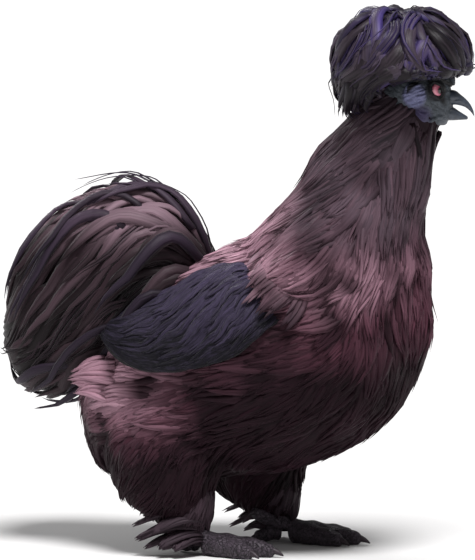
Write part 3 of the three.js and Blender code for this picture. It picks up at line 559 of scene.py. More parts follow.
# Beak horn: laid down in thin layers and worn smooth, so it has a low gloss and faint streaks 2.6 mm apart
horn, tree = new_material("worn_slate_horn")
place = add(tree, "TexCoord").outputs["Object"]
layers = add(tree, "TexNoise", {"Vector": place, "Scale": 380.0, "Detail": 5.0, "Roughness": 0.6})
tone = toned(tree, layers.outputs[0], [("#14171d", "#515967", None)])
bump = add(tree, "Bump", {"Height": layers.outputs[0], "Strength": 0.25, "Distance": 0.0004})
surface = add(tree, "BsdfPrincipled", {"Base Color": tone, "Roughness": 0.34, "IOR": 1.55,
                                       "Normal": bump.outputs[0]})
add(tree, "OutputMaterial", {"Surface": surface.outputs[0]})


def beak_half(table, caps):
    return shaped_ball(lambda t, a: on_head(round_body(table, t, a, caps=caps)), 40, 56)


upper_bm = beak_half(BEAK_UPPER, (0.05, 0.06))
for v in upper_bm.verts:
    x, y, z = in_head(v.co[:])
    ahead, above = x - NOSTRIL_AT[0], z - NOSTRIL_AT[1]
    slit = math.exp(-((ahead / NOSTRIL_SIZE[0]) ** 2 + ((above - 0.25 * ahead) / NOSTRIL_SIZE[1]) ** 2))
    inward = Vector((math.sin(HEAD_TURN) * y, -math.cos(HEAD_TURN) * y, 0))
    if abs(y) > 1.5:
        v.co += inward.normalized() * NOSTRIL_DEEP * slit
for half, bm in (("upper", upper_bm), ("lower", beak_half(BEAK_LOWER, (0.05, 0.08)))):
    set_on_bird(f"beak_{half}_horn", new_mesh(f"beak_{half}_horn", bm), (horn,), "beak_horn", f"beak_{half}")

# Claws
# Short claws of dark horn with a pinkish cast, one growing from the end of each toe. Each is a round cone
# that bends down, and is worn flat where it would go below the floor.

# Claw horn: coarser and more worn than the beak's, so duller, with a grain of 1.7 mm
claw_horn, tree = new_material("dark_claw_horn")
place = add(tree, "TexCoord").outputs["Object"]
grain = add(tree, "TexNoise", {"Vector": place, "Scale": 600.0, "Detail": 3.0})
tone = toned(tree, grain.outputs[0], [("#18141a", "#463a42", None)])
surface = add(tree, "BsdfPrincipled", {"Base Color": tone, "Roughness": 0.45, "IOR": 1.55,
                                       "Specular IOR Level": 0.25})
add(tree, "OutputMaterial", {"Surface": surface.outputs[0]})

for foot, (side, x) in LEGS.items():
    for toe_name, toe in TOES.items():
        rows, sideways = toe_table(toe, side)
        tip, before = np.array(rows[3][:3]), np.array(rows[2][:3])
        forward = (tip - before) * [1, 1, 0]
        forward /= np.linalg.norm(forward)
        size = 0.8 if toe[1] < 0.5 else 1.0
        drop = 3.0 if toe[2] else 3.4

        def claw_place(t, a):
            reach = (-4 + 10 * t) * size
            middle = tip + reach[..., None] * forward + (0.6 - drop * t**2)[..., None] * UP
            thick = 2.5 * size * np.sqrt(np.maximum(0, 1 - t)) * np.minimum(1, t * 12) ** 0.5
            p = middle + (np.sin(a) * thick)[..., None] * sideways + (np.cos(a) * thick * 1.15)[..., None] * UP
            p[..., 2] = np.maximum(p[..., 2], 0.4)
            return p + np.array([x, side * STANCE, 0])
        claw_mesh = new_mesh(f"claw_horn_{foot}_{toe_name}", shaped_ball(claw_place, 20, 24))
        set_on_bird(claw_mesh.name, claw_mesh, (claw_horn,), "claw_horn", f"claw_{foot}_{toe_name}")

# Coat of the neck, body and thighs
# A silkie's feathers have no hooks to hold them flat, so they lie as soft, broad, pointed locks with fine
# strands of silk over them. All follow the lie of the coat: down the neck and breast, back along the sides.
rng = np.random.default_rng(5)


def unit(vectors):
    return vectors / (np.linalg.norm(vectors, axis=-1)[..., None] + 1e-9)


def soft_step(low, high, value):
    """Rises smoothly from 0 at low to 1 at high, which may be the smaller of the two."""
    x = np.clip((value - low) / (high - low), 0, 1)
    return x * x * (3 - 2 * x)


# The section of a lock: its points across, in halves of its width, and their heights, in its thickness
SECTIONS = {3: ([-1, 0, 1], [-0.3, 0.7, -0.3]), 5: ([-1, -0.55, 0, 0.55, 1], [-0.3, 0.42, 0.7, 0.42, -0.3])}
PATCH = 0.003  # the side of the patch of the OFBake map that a whole lock shares
SPREAD_OVER = 900  # millimetres of silk pattern over which the locks take their streaks


def into_strands(guide, normal, width, shades, root_uv, count, fullness, closing=0.7, rise=1.2):
    """Parts each guide line into strands that lie side by side and close up towards the tip."""
    n, m, _ = guide.shape
    s = np.linspace(0, 1, m)
    side = unit(np.cross(unit(np.gradient(guide, axis=1)), normal))
    place = (np.arange(count) + 0.5) / count * 2 - 1
    across = place[None] + rng.uniform(-0.25, 0.25, (n, count))
    sway = 0.14 * np.sin(rng.uniform(0, 2 * np.pi, (n, count, 1)) + 5 * s[None, None]) * s
    shift = (across[..., None] * (1 - closing * s**1.2) + sway) * (width[:, None, None] / 2)
    lifted = rng.uniform(-0.4, 1, (n, count, 1)) * s * rise
    middle = guide[:, None] + side[:, None] * shift[..., None] + normal[:, None] * lifted[..., None]
    stretch = rng.uniform(-0.12, 0.05, (n, count))[..., None, None]
    middle = middle + (middle - middle[:, :, :1]) * stretch * (s**2)[None, None, :, None]
    normals = np.broadcast_to(normal[:, None], middle.shape)
    full = rng.uniform(*fullness, n * count) if np.ndim(fullness) else fullness
    shades = {key: np.repeat(value, count, axis=0) for key, value in shades.items()}
    return (middle.reshape(-1, m, 3), normals.reshape(-1, m, 3), np.repeat(width, count) / count * full, shades,
            np.repeat(root_uv, count, axis=0))


def lay_locks(name, finish, slot_name, middle, normal, width, shades, root_uv, nodes=(), across=5, flat=0.2,
              root_width=0.26, strands=1, **parting):
    """A piece of locks, each a bent, arched ribbon of so many points across, pointed and closed.

    Each lock may be parted into strands, which are three points across.
    """
    if strands > 1:
        middle, normal, width, shades, root_uv = into_strands(middle, normal, width, shades, root_uv, strands,
                                                              **parting)
        across = 3
    thick = width * flat
    n, m, _ = middle.shape
    s = np.linspace(0, 1, m)
    tangent = unit(np.gradient(middle, axis=1))
    side = unit(np.cross(tangent, normal))
    top = np.cross(side, tangent)
    half = 0.5 * width[:, None] * (np.sin(np.pi * (root_width + (1 - root_width) * s)) ** 0.75)[None, :]
    high = thick[:, None] * (1 - 0.6 * s)[None, :]
    outs, ups = SECTIONS[across]
    rings = np.stack([middle + side * (o * half)[..., None] + top * (u * high)[..., None]
                      for o, u in zip(outs, ups)], axis=2)[:, :-1]
    per = across * (m - 1) + 1
    points = np.concatenate([rings.reshape(n, -1, 3), middle[:, -1:]], axis=1).reshape(-1, 3)
    base = (np.arange(n) * per)[:, None, None]
    k = np.arange(m - 2)[:, None] * across
    edges = [(i, (i + 1) % across) for i in range(across)]
    quads = np.concatenate([np.concatenate([k + b, k + a, k + across + a, k + across + b], axis=1)
                            for a, b in edges])
    quads = (quads[None] + base).reshape(-1, 4)
    last = across * (m - 2)
    ends = [[last + b, last + a, per - 1] for a, b in edges] + [[0, i, i + 1] for i in range(1, across - 1)]
    tris = (np.array(ends)[None] + base).reshape(-1, 3)
    mesh = bpy.data.meshes.new(name)
    mesh.vertices.add(len(points))
    mesh.vertices.foreach_set("co", to_metres(points).ravel())
    corners = np.concatenate([quads.ravel(), tris.ravel()])
    mesh.loops.add(len(corners))
    mesh.loops.foreach_set("vertex_index", corners.astype(np.int32))
    starts = np.concatenate([np.arange(len(quads)) * 4, len(quads) * 4 + np.arange(len(tris)) * 3])
    mesh.polygons.add(len(starts))
    mesh.polygons.foreach_set("loop_start", starts.astype(np.int32))
    mesh.update(calc_edges=True)
    mesh.polygons.foreach_set("use_smooth", np.ones(len(starts), bool))
    point_s = np.tile(np.append(np.repeat(s[:-1], across), 1.0), n)
    point_u = np.tile(np.append(np.tile((np.array(outs) + 1) / 2, m - 1), 0.5), n)
    owner = np.repeat(np.arange(n), per)
    length = np.linalg.norm(np.diff(middle, axis=1), axis=2).sum(axis=1)
    own = np.stack([point_u * width[owner] + rng.uniform(0, SPREAD_OVER, n)[owner],
                    point_s * length[owner] + rng.uniform(0, SPREAD_OVER, n)[owner]], axis=1)
    baked = root_uv[owner] + PATCH * np.stack([point_u - 0.5, point_s - 0.5], axis=1)
    for label, values in (("strand", own * 0.001), ("OFBake", baked)):
        mesh.uv_layers.new(name=label).data.foreach_set("uv", values[corners].ravel())
    ring = np.tile(np.append(np.repeat(np.arange(m - 1), across), m - 1), n)
    spread = {key: np.broadcast_to(np.clip(values, 0, 1).reshape(n, -1), (n, m))[owner, ring]
              for key, values in shades.items()}
    for label, values in {**spread, "tipward": point_s, "rim": np.abs(2 * point_u - 1)}.items():
        mesh.attributes.new(label, "FLOAT", "POINT").data.foreach_set("value", values)
    set_on_bird(name, mesh, (finish,), slot_name, *nodes)


def lie_of_coat(p):
    """The way the coat lies at a place: down the neck and breast, back along the saddle, flanks and hips."""
    x, y, z = p
    up_neck = min(max(z - 206, 0), 110)
    front = soft_step(-0.3, 0.95, (x - 62 - 0.46 * up_neck) / (64 - 0.3 * up_neck))
    neck = soft_step(205, 245, z)
    low = soft_step(95, 50, z)
    wind = noise.noise(Vector((x, y, z)) * 0.02)
    turn = noise.noise(Vector((x + 300, y, z)) * 0.031)
    forward = -0.12 - 0.95 * (1 - front) * (1 - 0.7 * low)
    down = -1 + 0.62 * (1 - front) * (1 - neck) * (1 - low)
    return forward + 0.75 * turn, 0.5 * wind, down + 0.35 * wind


def trace(roots, length, steps):
    """Lines that run over the skin from their roots, the way the coat lies, with the skin's normals."""
    lines = np.empty((len(roots), steps + 1, 3))
    normals = np.empty_like(lines)
    bend = rng.uniform(-0.2, 0.2, len(roots))
    for i, root in enumerate(roots):
        p, n, _, _ = flesh_tree.find_nearest(Vector(root))
        for k in range(steps + 1):
            lines[i, k], normals[i, k] = p, n
            d = Vector(lie_of_coat(p))
            d -= n * d.dot(n)
            d.normalize()
            d = (d + n.cross(d) * bend[i] * (1 - 1.6 * k / steps)).normalized()
            p, n, _, _ = flesh_tree.find_nearest(p + d * (length[i] / steps))
    for values in (lines, normals, normals):
        values[:, 1:-1] = (values[:, :-2] + 2 * values[:, 1:-1] + values[:, 2:]) / 4
    return lines, unit(normals)


# The triangles of the flesh that the coat is rooted in
flesh_mesh = bpy.data.meshes.new("flesh")
flesh_bm.to_mesh(flesh_mesh)
flesh_mesh.calc_loop_triangles()
flesh_corners = np.array([v.co for v in flesh_mesh.vertices])[
    np.array([t.vertices for t in flesh_mesh.loop_triangles])]
flesh_middles = flesh_corners.mean(axis=1)
flesh_areas = np.linalg.norm(np.cross(flesh_corners[:, 1] - flesh_corners[:, 0],
                                      flesh_corners[:, 2] - flesh_corners[:, 0]), axis=1) / 2
bpy.data.meshes.remove(flesh_mesh)
flesh_bm.free()


def scattered(count, weight):
    """Places spread over the skin where weight says."""
    chance = flesh_areas * weight(flesh_middles)
    picks = rng.choice(len(flesh_areas), size=count, p=chance / chance.sum())
    r1, r2 = np.sqrt(rng.uniform(0, 1, count)), rng.uniform(0, 1, count)
    a, b, c = (flesh_corners[picks, k] for k in range(3))
    return a * (1 - r1)[:, None] + b * (r1 * (1 - r2))[:, None] + c * (r1 * r2)[:, None]


def unwrapped(points):
    """The place of a root on an unwrap of the body: round it, and up it."""
    around = np.arctan2(points[:, 1], points[:, 0] - 20) / (2 * np.pi) + 0.5
    return np.stack([0.03 + 0.94 * around, 0.03 + 0.94 * np.clip(points[:, 2] / 400, 0, 1)], axis=1)


def patches(points, size, seed=0.0):
    """Soft noise about 0, in patches of a size in millimetres."""
    return np.array([noise.noise(Vector(p) / size + Vector((seed, 0, 0))) for p in points])


def near(points, centre, radii):
    """One at a place on either side of the bird, and falling to nothing at the radii from it."""
    sided = np.stack([points[:, 0], np.abs(points[:, 1]), points[:, 2]], axis=1)
    return np.exp(-2.2 * (((sided - centre) / radii) ** 2).sum(axis=1))


CLUMPS = (22, 11.0)  # the size of the clumps that the coat parts into, lower between them, with painted shade there


def plumage_shades(points, normals):
    """How light, ashy, pink or dark each place is drawn: painted light on back, rump, hips and upper breast,
    painted shade low down, underneath and in hollows.
    """
    x, z, up = points[:, 0], points[:, 2], normals[:, 2]
    blotch = patches(points, 42)
    ash = 0.95 * soft_step(178, 240, z + 12 * blotch) + 0.35 * soft_step(0.25, 0.6, patches(points, 50, 7.0))
    # Pink, and painted light: the top of the back, the rump and hips, and the upper breast, where the light
    # falls.
    pink_and_painted_light = 0.95 * soft_step(164, 192, z) * soft_step(62, 20, x)
    pink_and_painted_light += 1.6 * near(points, (-100, 62, 128), (70, 80, 42))
    pink_and_painted_light += 0.9 * near(points, (84, 62, 190), (44, 60, 26)) + 0.15 * near(points, (-58, 78, 98), (50, 50, 26))
    # Where the rump and hip are drawn lit, the painted shade below is lifted.
    lit = near(points, (-96, 64, 126), (74, 80, 48)) + 0.4 * near(points, (-60, 80, 92), (54, 60, 28))
    # Painted shade: darker low down, where the coat faces down, in the crease at the neck's base and between
    # the clumps, less where the rump is drawn lit; patches of darker tone at random.
    dusk = 0.85 * soft_step(196, 108, z) * (1 - np.clip(1.2 * lit, 0, 1)) + 0.6 * soft_step(0.0, -0.75, up)
    dusk += 0.5 * soft_step(80, 40, z) + 0.6 * near(points, (62, 70, 214), (26, 40, 14))
    dusk += 0.55 * soft_step(0.0, -0.4, patches(points, *CLUMPS))
    dusk += 0.2 * soft_step(0.1, 0.55, patches(points, 40, 3.0))
    # Painted light on the rump and hip, and lighter or darker in patches at random.
    light = 0.45 + 0.6 * near(points, (-102, 62, 130), (66, 70, 42)) + 0.45 * patches(points, 24, 5.0)
    return {"light": light, "ash": ash, "pink_and_painted_light": pink_and_painted_light, "dusk": dusk}


def combed(tree, stretch, scale, roughness=0.62, contrast=1.5, crimp=0.0):
    """Streaks of barbs along each lock, and how light they and the lock's light attribute, its tone with
    painted light and shade, make each place.
    """
    own = add(tree, "UVMap", uv_map="strand").outputs[0]
    if crimp:
        drift = add(tree, "TexNoise", {"Vector": own, "Scale": 90.0, "Detail": 1.0})
        own = add(tree, "Mix", {0: crimp, 4: own, 5: drift.outputs["Color"]}, data_type="VECTOR").outputs[1]
    drawn_out = add(tree, "Mapping", {"Vector": own, "Scale": (1.0, stretch, 1.0)})
    streaks = add(tree, "TexNoise", {"Vector": drawn_out.outputs[0], "Scale": scale, "Detail": 4.0,
                                     "Roughness": roughness}).outputs[0]
    light = add(tree, "Attribute", attribute_name="light").outputs["Fac"]
    level = add(tree, "Math", {0: streaks, 1: contrast, 2: -contrast / 2}, operation="MULTIPLY_ADD")
    level = add(tree, "Math", {0: light, 1: level.outputs[0]}, operation="ADD", use_clamp=True)
    return streaks, level.outputs[0]


def finish_silk(tree, colour, streaks, root_shade_colour, root_shade_share, root_shade_end, relief, shine, depth=0.6):
    """Paints shade on each lock towards its root, where it lies under the others, raises its streaks, and gives
    it a silk's shine.
    """
    tipward = add(tree, "Attribute", attribute_name="tipward").outputs["Fac"]
    # Painted shade: the lock darkens to the root's shade colour towards its root.
    shown = add(tree, "MapRange", {"Value": tipward, "From Max": root_shade_end, "To Min": root_shade_share, "To Max": 1.0})
    root_shaded = add(tree, "Mix", {0: shown.outputs[0], 6: linear(root_shade_colour), 7: colour}, data_type="RGBA")
    bump = add(tree, "Bump", {"Height": streaks, "Strength": depth, "Distance": relief})
    silk = add(tree, "BsdfPrincipled", {"Base Color": root_shaded.outputs[2], "Normal": bump.outputs[0], **shine})
    add(tree, "OutputMaterial", {"Surface": silk.outputs[0]})


# Silk of the coat: barbs without hooks, so it shines softly. Its fine barbs show as streaks along each
# lock, drawn 2 mm wide, coarser than the real 0.3 mm ones, so that they can be seen.
coat_silk, tree = new_material("hookless_body_silk")
streaks, level = combed(tree, 0.05, 520.0)
colour = toned(tree, level, [("#29161d", "#6e4352", None), ("#242024", "#5e4e58", "ash"),
                             ("#755060", "#d6aabb", "pink_and_painted_light"), ("#0e070a", "#2a1820", "dusk")])
# Each lock's root painted in shade, #140d10.
finish_silk(tree, colour, streaks, "#140d10", 0.7, 0.4, 0.0012,
            {"Roughness": 0.5, "Specular IOR Level": 0.07, "Sheen Weight": 0.06, "Sheen Roughness": 0.4,
             "Sheen Tint": linear("#c9a2b4")})


def on_half(p, side):
    """One on that side of the bird, fading out a little past its middle line."""
    return 1 / (1 + np.exp(-side * p[:, 1] / 1.5))


def on_neck(p, side):
    """The neck up to the crest, without the bare face."""
    x, _, z = in_head(p).T
    bare = (x > -8) & (z > np.maximum(-11, -6 - x))
    return soft_step(205, 228, p[:, 2]) * (z < 12) * (x < 10) * ~bare * on_half(p, side)


def on_body(p, side):
    """Breast, back, flank and belly, without the thigh."""
    return soft_step(228, 205, p[:, 2]) * on_half(p, side) * ~on_thigh(p, side) * (p[:, 2] > 34)


def on_thigh(p, side):
    """The outside of the thigh, and all round it below the belly."""
    x = LEGS["right" if side < 0 else "left"][1] - 18
    return (p[:, 2] < 104) & (np.abs(p[:, 0] - x) < 46) & (p[:, 1] * side > 0) & (
        (p[:, 2] < 58) | (p[:, 1] * side > 56))


# The layers of the coat: strands to a lock, how flat they are, how full, and how they part
COAT_LAYERS = {"locks": {"flat": 0.17},
               "strands": {"flat": 0.3, "strands": 3, "fullness": (0.9, 1.35), "closing": 0.55, "rise": 0.4},
               "tufts": {"flat": 0.3, "strands": 6, "fullness": 1.35, "closing": 0.92, "rise": 0.3}}
ROOT_DEPTH = 2.0
LEAST_HEIGHT = 1.2
CLUMP_RELIEF = 3.2
THROAT_FILL = 7
CREASE_AT, CREASE_FILL = 194, 3.5  # the height of the crease between neck and breast, and what fills it


def clothe(name, weight, slot_name, counts, length, height, width):
    """Broad locks close to the form, finer parted strands over them, then pointed tufts that stand off."""
    s = np.linspace(0, 1, 8)
    for (layer, build), count in zip(COAT_LAYERS.items(), counts):
        roots = scattered(count, weight)
        lines, normals = trace(roots, rng.uniform(0.8, 1.2, count) * length, len(s) - 1)
        relief = CLUMP_RELIEF * patches(lines.reshape(-1, 3), *CLUMPS).reshape(count, -1)
        tips = np.where(rng.random(count) < 0.2, rng.uniform(0.5, 2.4, count), rng.uniform(-1.4, 0.3, count))
        throat = THROAT_FILL * soft_step(282, 306, lines[..., 2]) * soft_step(112, 126, lines[..., 0])
        if layer == "tufts":
            tips = rng.uniform(1.0, 3.6, count) * soft_step(290, 265, lines[:, 0, 2])
            throat *= 0
        crease = np.exp(-(((lines[..., 2] - CREASE_AT) / 13) ** 2)) * soft_step(20, 45, lines[..., 0])
        above = np.maximum(height + throat + relief, LEAST_HEIGHT) + CREASE_FILL * crease + tips[:, None] * s**2
        above += 0.6 * (layer != "locks")
        above = -ROOT_DEPTH + (above + ROOT_DEPTH) * soft_step(0, 0.5, s)
        shades = {key: value.reshape(count, -1) + rng.uniform(-0.1, 0.1, (count, 1)) for key, value in
                  plumage_shades(lines.reshape(-1, 3), normals.reshape(-1, 3)).items()}
        spread = width * rng.uniform(0.75, 1.3, count)
        if layer == "tufts":
            spread *= 1.7
            # Painted shade at each tuft's root and painted light towards its tip.
            shades["dusk"] += 0.5 * soft_step(0.5, 0, s)
            shades["light"] += 0.2 * soft_step(0.3, 0.9, s)
        lay_locks(f"{name}_{layer}", coat_silk, slot_name, lines + normals * above[..., None], normals, spread,
                  shades, unwrapped(roots), **build)


for label, side in (("right", -1), ("left", 1)):
    clothe(f"hackle_{label}", lambda p: on_neck(p, side), "hackle_feathers", (560, 480, 110), 72, 3.4, 12)
    clothe(f"body_{label}", lambda p: on_body(p, side), "body_feathers", (1000, 900, 240), 62, 2.4, 14)

    # Four long tufts stand out from the rump, below the tip of the wing.
    starts = np.array([(-78, 62, 127), (-84, 58, 121), (-80, 60, 114), (-88, 54, 128)], float) * [1, side, 1]
    ends = np.array([(-116, 47, 120), (-117, 46, 117), (-111, 52, 111), (-115, 45, 123)], float) * [1, side, 1]
    s = np.linspace(0, 1, 8)[None, :, None]
    guide = starts[:, None] + (ends - starts)[:, None] * s + 5 * np.sin(np.pi * s) * np.array([0, side, 0.4])
    aside = np.broadcast_to(unit(np.array([-0.35, side, 0.25])), guide.shape)
    # Drawn pale and pink, with painted light, like the rump they stand from.
    shades = {key: np.full(4, value) for key, value in
              (("light", 0.6), ("ash", 0.2), ("pink_and_painted_light", 0.7), ("dusk", 0.0))}
    lay_locks(f"rump_tufts_{label}", coat_silk, "body_feathers", guide, aside, np.full(4, 17.0), shades,
              unwrapped(starts), strands=6, fullness=27 / 17, closing=0.95, rise=0.5, flat=1.6 / 4.5)

    clothe(f"thigh_{label}", lambda p: on_thigh(p, side) * 1.0, "body_feathers", (360, 360, 80), 34, 2.8, 10)

# Crest
# A mop of long soft feathers that spring from the crown and fall all round, longest behind. Broad locks of
# charcoal silk, with a painted violet sheen on their edges, lie in layers, with fine strands over them and a
# few loose wisps.
CREST_AT = np.array([-10.0, 0.0, 21.5])
CREST_RADIUS = 49.0
CREST_RISE = 45.0


def on_crest(t, a, h):
    """Places h out from the crest's dome, t from its crown to its skirt and a round it, and the way out."""
    back = -np.cos(a)
    skirt, draw = 7 + 29 * soft_step(-0.4, 1, back), 0.2 - 0.1 * back
    dome = np.minimum(t, 0.5) * np.pi
    below = np.maximum(0, t - 0.5) * 2
    reach = CREST_RADIUS * np.sin(dome) * (1 - draw * below * below)
    p = np.stack([reach * np.cos(a), reach * np.sin(a), CREST_RISE * np.cos(dome) - skirt * below], axis=-1)
    out = np.stack([p[..., 0], p[..., 1], np.maximum(p[..., 2], -4)], axis=-1)
    out = unit(out / np.array([CREST_RADIUS, CREST_RADIUS, CREST_RISE]))
    return on_head(p + CREST_AT + out * h[..., None]), on_head(out) - HEAD_AT


# Silk of the crest: finer and glossier than the coat's, charcoal with a painted violet sheen on each lock's
# edges.
# Its streaks are 1.4 mm wide, coarser than the real barbs.
crest_silk, tree = new_material("charcoal_crest_silk")
streaks, level = combed(tree, 0.04, 700.0)
violet_sheen = add(tree, "Attribute", attribute_name="violet_sheen").outputs["Fac"]
rim = add(tree, "Attribute", attribute_name="rim").outputs["Fac"]
# Painted sheen: violet laid on the edges of the locks.
rim = add(tree, "MapRange", {"Value": rim, "From Min": 0.1, "From Max": 0.9, "To Min": 0.15, "To Max": 1.0})
sheen_on_edges = add(tree, "Math", {0: violet_sheen, 1: rim.outputs[0]}, operation="MULTIPLY", use_clamp=True)
colour = toned(tree, level, [("#151015", "#564a54", None), ("#1a1530", "#5c4c98", sheen_on_edges.outputs[0])])
# Each lock's root painted in shade, #0d0a0e.
finish_silk(tree, colour, streaks, "#0d0a0e", 0.35, 0.35, 0.001,
            {"Roughness": 0.42, "Specular IOR Level": 0.2, "Sheen Weight": 0.08, "Sheen Roughness": 0.3,
             "Sheen Tint": linear("#6f63b8")})

# How many of each layer, the strands to each, the points across, how wide and how flat they are
for layer, count, strands, across, wide, flat in (("locks", 420, 1, 5, 11, 0.3), ("strands", 260, 3, 3, 9, 0.5),
                                                  ("wisps", 34, 1, 3, 1.1, 0.6)):
    s = np.linspace(0, 1, 11)[None]
    start = rng.uniform(0.0, 1.0, count) ** 0.75 * 0.5
    angle = rng.uniform(-np.pi, np.pi, count)
    lowest = 0.88 + 0.14 * soft_step(0.4, -0.2, np.cos(angle)) + rng.uniform(-0.08, 0.03, count)
    end = np.minimum(start + rng.uniform(0.4, 0.62, count), lowest)
    round_crown = np.stack([np.cos(angle) * 40, np.sin(angle) * 40, start * 90], axis=1)
    swirl = (1.1 * patches(round_crown, 36, 2.0) + rng.uniform(-0.12, 0.12, count)) * (1 - 0.9 * start)
    t = start[:, None] + (end - start)[:, None] * s
    bends = 6 * patches(round_crown, 40, 8.0)[:, None] + rng.uniform(-0.4, 0.4, count)[:, None]
    a = angle[:, None] + swirl[:, None] * s**1.5 + 0.16 * np.sin(bends + 5.5 * s)
    outer = {"locks": rng.uniform(-9, 0, count), "strands": rng.uniform(-7, -1, count),
             "wisps": rng.uniform(0, 4, count)}[layer]
    height = -17 + (outer[:, None] + 17) * np.minimum(1, s * 2.4) ** 0.7
    height -= rng.uniform(0, 5, count)[:, None] * s**3 * (layer != "wisps")
    height += 5 * soft_step(0.3, 0.05, t) + 1.5 * np.sin(bends * 2 + 5 * s)
    off_crown = rng.uniform(-9, 9, (count, 1, 2)) * (1 - np.clip(2 * t, 0, 1))[..., None]
    guide, normal = on_crest(t, a, height)
    guide[..., :2] += off_crown
    spread = wide * rng.uniform(0.7, 1.3, count)
    # Painted shade on the low locks of the skirt and on the front, with less violet sheen low down; each lock
    # lighter or darker at random.
    low_down = soft_step(0.62, 0.95, end) * soft_step(0.2, 0.45, start)
    light = 0.42 - 0.5 * low_down - 0.25 * soft_step(0.3, 1, np.cos(angle)) + rng.uniform(-0.25, 0.3, count)
    violet_sheen = 0.25 - 0.6 * low_down + 1.2 * patches(round_crown, 30, 6.0) + rng.uniform(-0.3, 0.7, count)
    uv = np.stack([0.05 + 0.9 * (angle / (2 * np.pi) + 0.5), 0.05 + 0.9 * start], axis=1)
    lay_locks(f"crest_{layer}", crest_silk, "crest_feathers", guide, unit(normal), spread,
              {"light": light, "violet_sheen": violet_sheen}, uv, ["crest"] if layer == "locks" else [], across, flat,
              strands=strands, fullness=(0.8, 1.3))

# Tail
# A full plume of long soft feathers that arch up and back from the rump and turn down at their tips. Over a
# bed of down lie broad vanes, fine strands and a few darker slate plumes, and thin wisps stand off them.
TAIL = [(-26, 0, 192, 27, 24), (-54, 0, 188, 56, 40), (-90, 0, 177, 76, 52), (-126, 0, 163, 78, 55),
        (-157, 0, 150, 66, 46), (-177, 0, 147, 46, 30)]


def on_tail(t, a, depth):
    """Places at a depth in the plume, t along it and a round it from its top, and the way out."""
    row = along(TAIL, t)
    to_end = np.minimum(np.minimum(t / 0.08, (1 - t) / 0.2), 1)
    full = np.sqrt(np.maximum(0.02, 1 - (1 - to_end) ** 2))
    under = 1 - (0.2 + 0.24 * soft_step(0.58, 1, t)) * np.clip(-np.cos(a), 0, 1)
    least = 3 * np.clip((1 - t) / 0.06, 0, 1)
    up = np.maximum(row[..., 3] * full * under - depth, least)
    sideways = np.maximum(row[..., 4] * full - depth, least)
    out = unit(np.cos(a)[..., None] * UP + np.sin(a)[..., None] * LEFT + (t - 0.5)[..., None] * 0.9 * BACK)
    return row[..., :3] + (np.cos(a) * up)[..., None] * UP + (np.sin(a) * sideways)[..., None] * LEFT, out


# Silk of the tail: like the coat's but longer and smoother, grey-brown, with slate vanes among it. Its streaks
# are 2 mm wide, coarser than the real barbs.
tail_silk, tree = new_material("grey_brown_tail_silk")
streaks, level = combed(tree, 0.03, 480.0)
colour = toned(tree, level, [("#31242a", "#8b717d", None), ("#0b0608", "#281920", "dusk"),
                             ("#0f0b11", "#34293a", "slate")])
# Each lock's root painted in shade, #0f0b0d.
finish_silk(tree, colour, streaks, "#0f0b0d", 0.4, 0.4, 0.0012,
            {"Roughness": 0.5, "Specular IOR Level": 0.15, "Sheen Weight": 0.06, "Sheen Roughness": 0.4})

# How many of each layer, the strands to each, how wide and how flat they are, their share of slate, where
# along the tail they start, how far they run, and how deep they lie
for layer, count, strands, wide, flat, slate, starts, runs, deep in [
    ("down", 150, 1, 26, 0.32, 0.0, (0.0, 0.5), (0.6, 1.0), (12, 17)),
    ("vanes", 460, 1, 12, 0.32, 0.0, (0.0, 0.52), (0.36, 0.6), (3, 15)),
    ("strands", 110, 3, 11, 0.5, 0.15, (0.0, 0.5), (0.35, 0.55), (4, 8)),
    ("plumes", 26, 1, 8, 0.32, 0.9, (0.0, 0.5), (0.4, 0.5), (-4, -0.5)),
    ("wisps", 7, 1, 2.8, 0.32, 1.0, (0.02, 0.3), (0.26, 0.42), (-7, -3)),
]:
    s = np.linspace(0, 1, 12)[None]
    t0 = rng.uniform(*starts, count)
    t1 = np.minimum(t0 + rng.uniform(*runs, count), 1.0)
    a0 = rng.uniform(-np.pi, np.pi, count) * (0.2 if layer == "wisps" else 1)
    waved = layer not in ("down", "wisps")
    if layer == "down":
        a0 = np.linspace(-np.pi, np.pi, count)
    t = t0[:, None] + (t1 - t0)[:, None] * s
    wander = patches(np.stack([t0 * 90, a0 * 30, 0 * t0], axis=1), 30, 6.0)
    field = patches(np.stack([t0 * 120, a0 * 30, 0 * t0], axis=1), 22, 4.0)
    droop = waved * np.clip(np.abs(a0) / 0.4, 0, 1) * (0.5 + 0.4 * wander) * np.sign(a0)
    droop = droop * np.clip((np.pi - np.abs(a0)) / 1.2, 0, 1)
    a = a0[:, None] + droop[:, None] * s**2.4
    a -= waved * (0.26 + 0.3 * field)[:, None] * np.sign(a0)[:, None] * np.sin(np.pi * np.minimum(1, 1.35 * s))
    a += waved * 0.06 * np.sin(8 * s + 7 * field[:, None])
    depth = rng.uniform(*deep, count)
    tip_out = np.where(rng.random(count) < 0.3, rng.uniform(3, 10, count), 0)
    inner = depth[:, None] + (1 - np.minimum(1, s * 2.5)) * 8 - tip_out[:, None] * s**4
    guide, normal = on_tail(t, a, inner)
    spread = wide * rng.uniform(0.7, 1.3, count)
    # The bed of down drawn all in painted shade under the vanes; painted shade lower down the plume and painted
    # light on its top; each lock lighter or darker at random.
    dusk = (layer == "down") + 0.95 * soft_step(240, 202, guide[..., 2]) + rng.uniform(-0.2, 0.08, (count, 1))
    light = 0.42 + 0.36 * soft_step(200, 235, guide[..., 2]) + rng.uniform(-0.28, 0.28, (count, 1))
    uv = np.stack([0.05 + 0.9 * (a0 / (2 * np.pi) + 0.5), 0.05 + 0.9 * t0], axis=1)
    lay_locks(f"tail_{layer}", tail_silk, "tail_feathers", guide, normal, spread,
              {"light": light, "dusk": dusk, "slate": np.full(count, slate)}, uv,
              ["tail"] if layer == "vanes" else [], flat=flat, root_width=0.2, strands=strands,
              fullness=(0.5, 0.9))

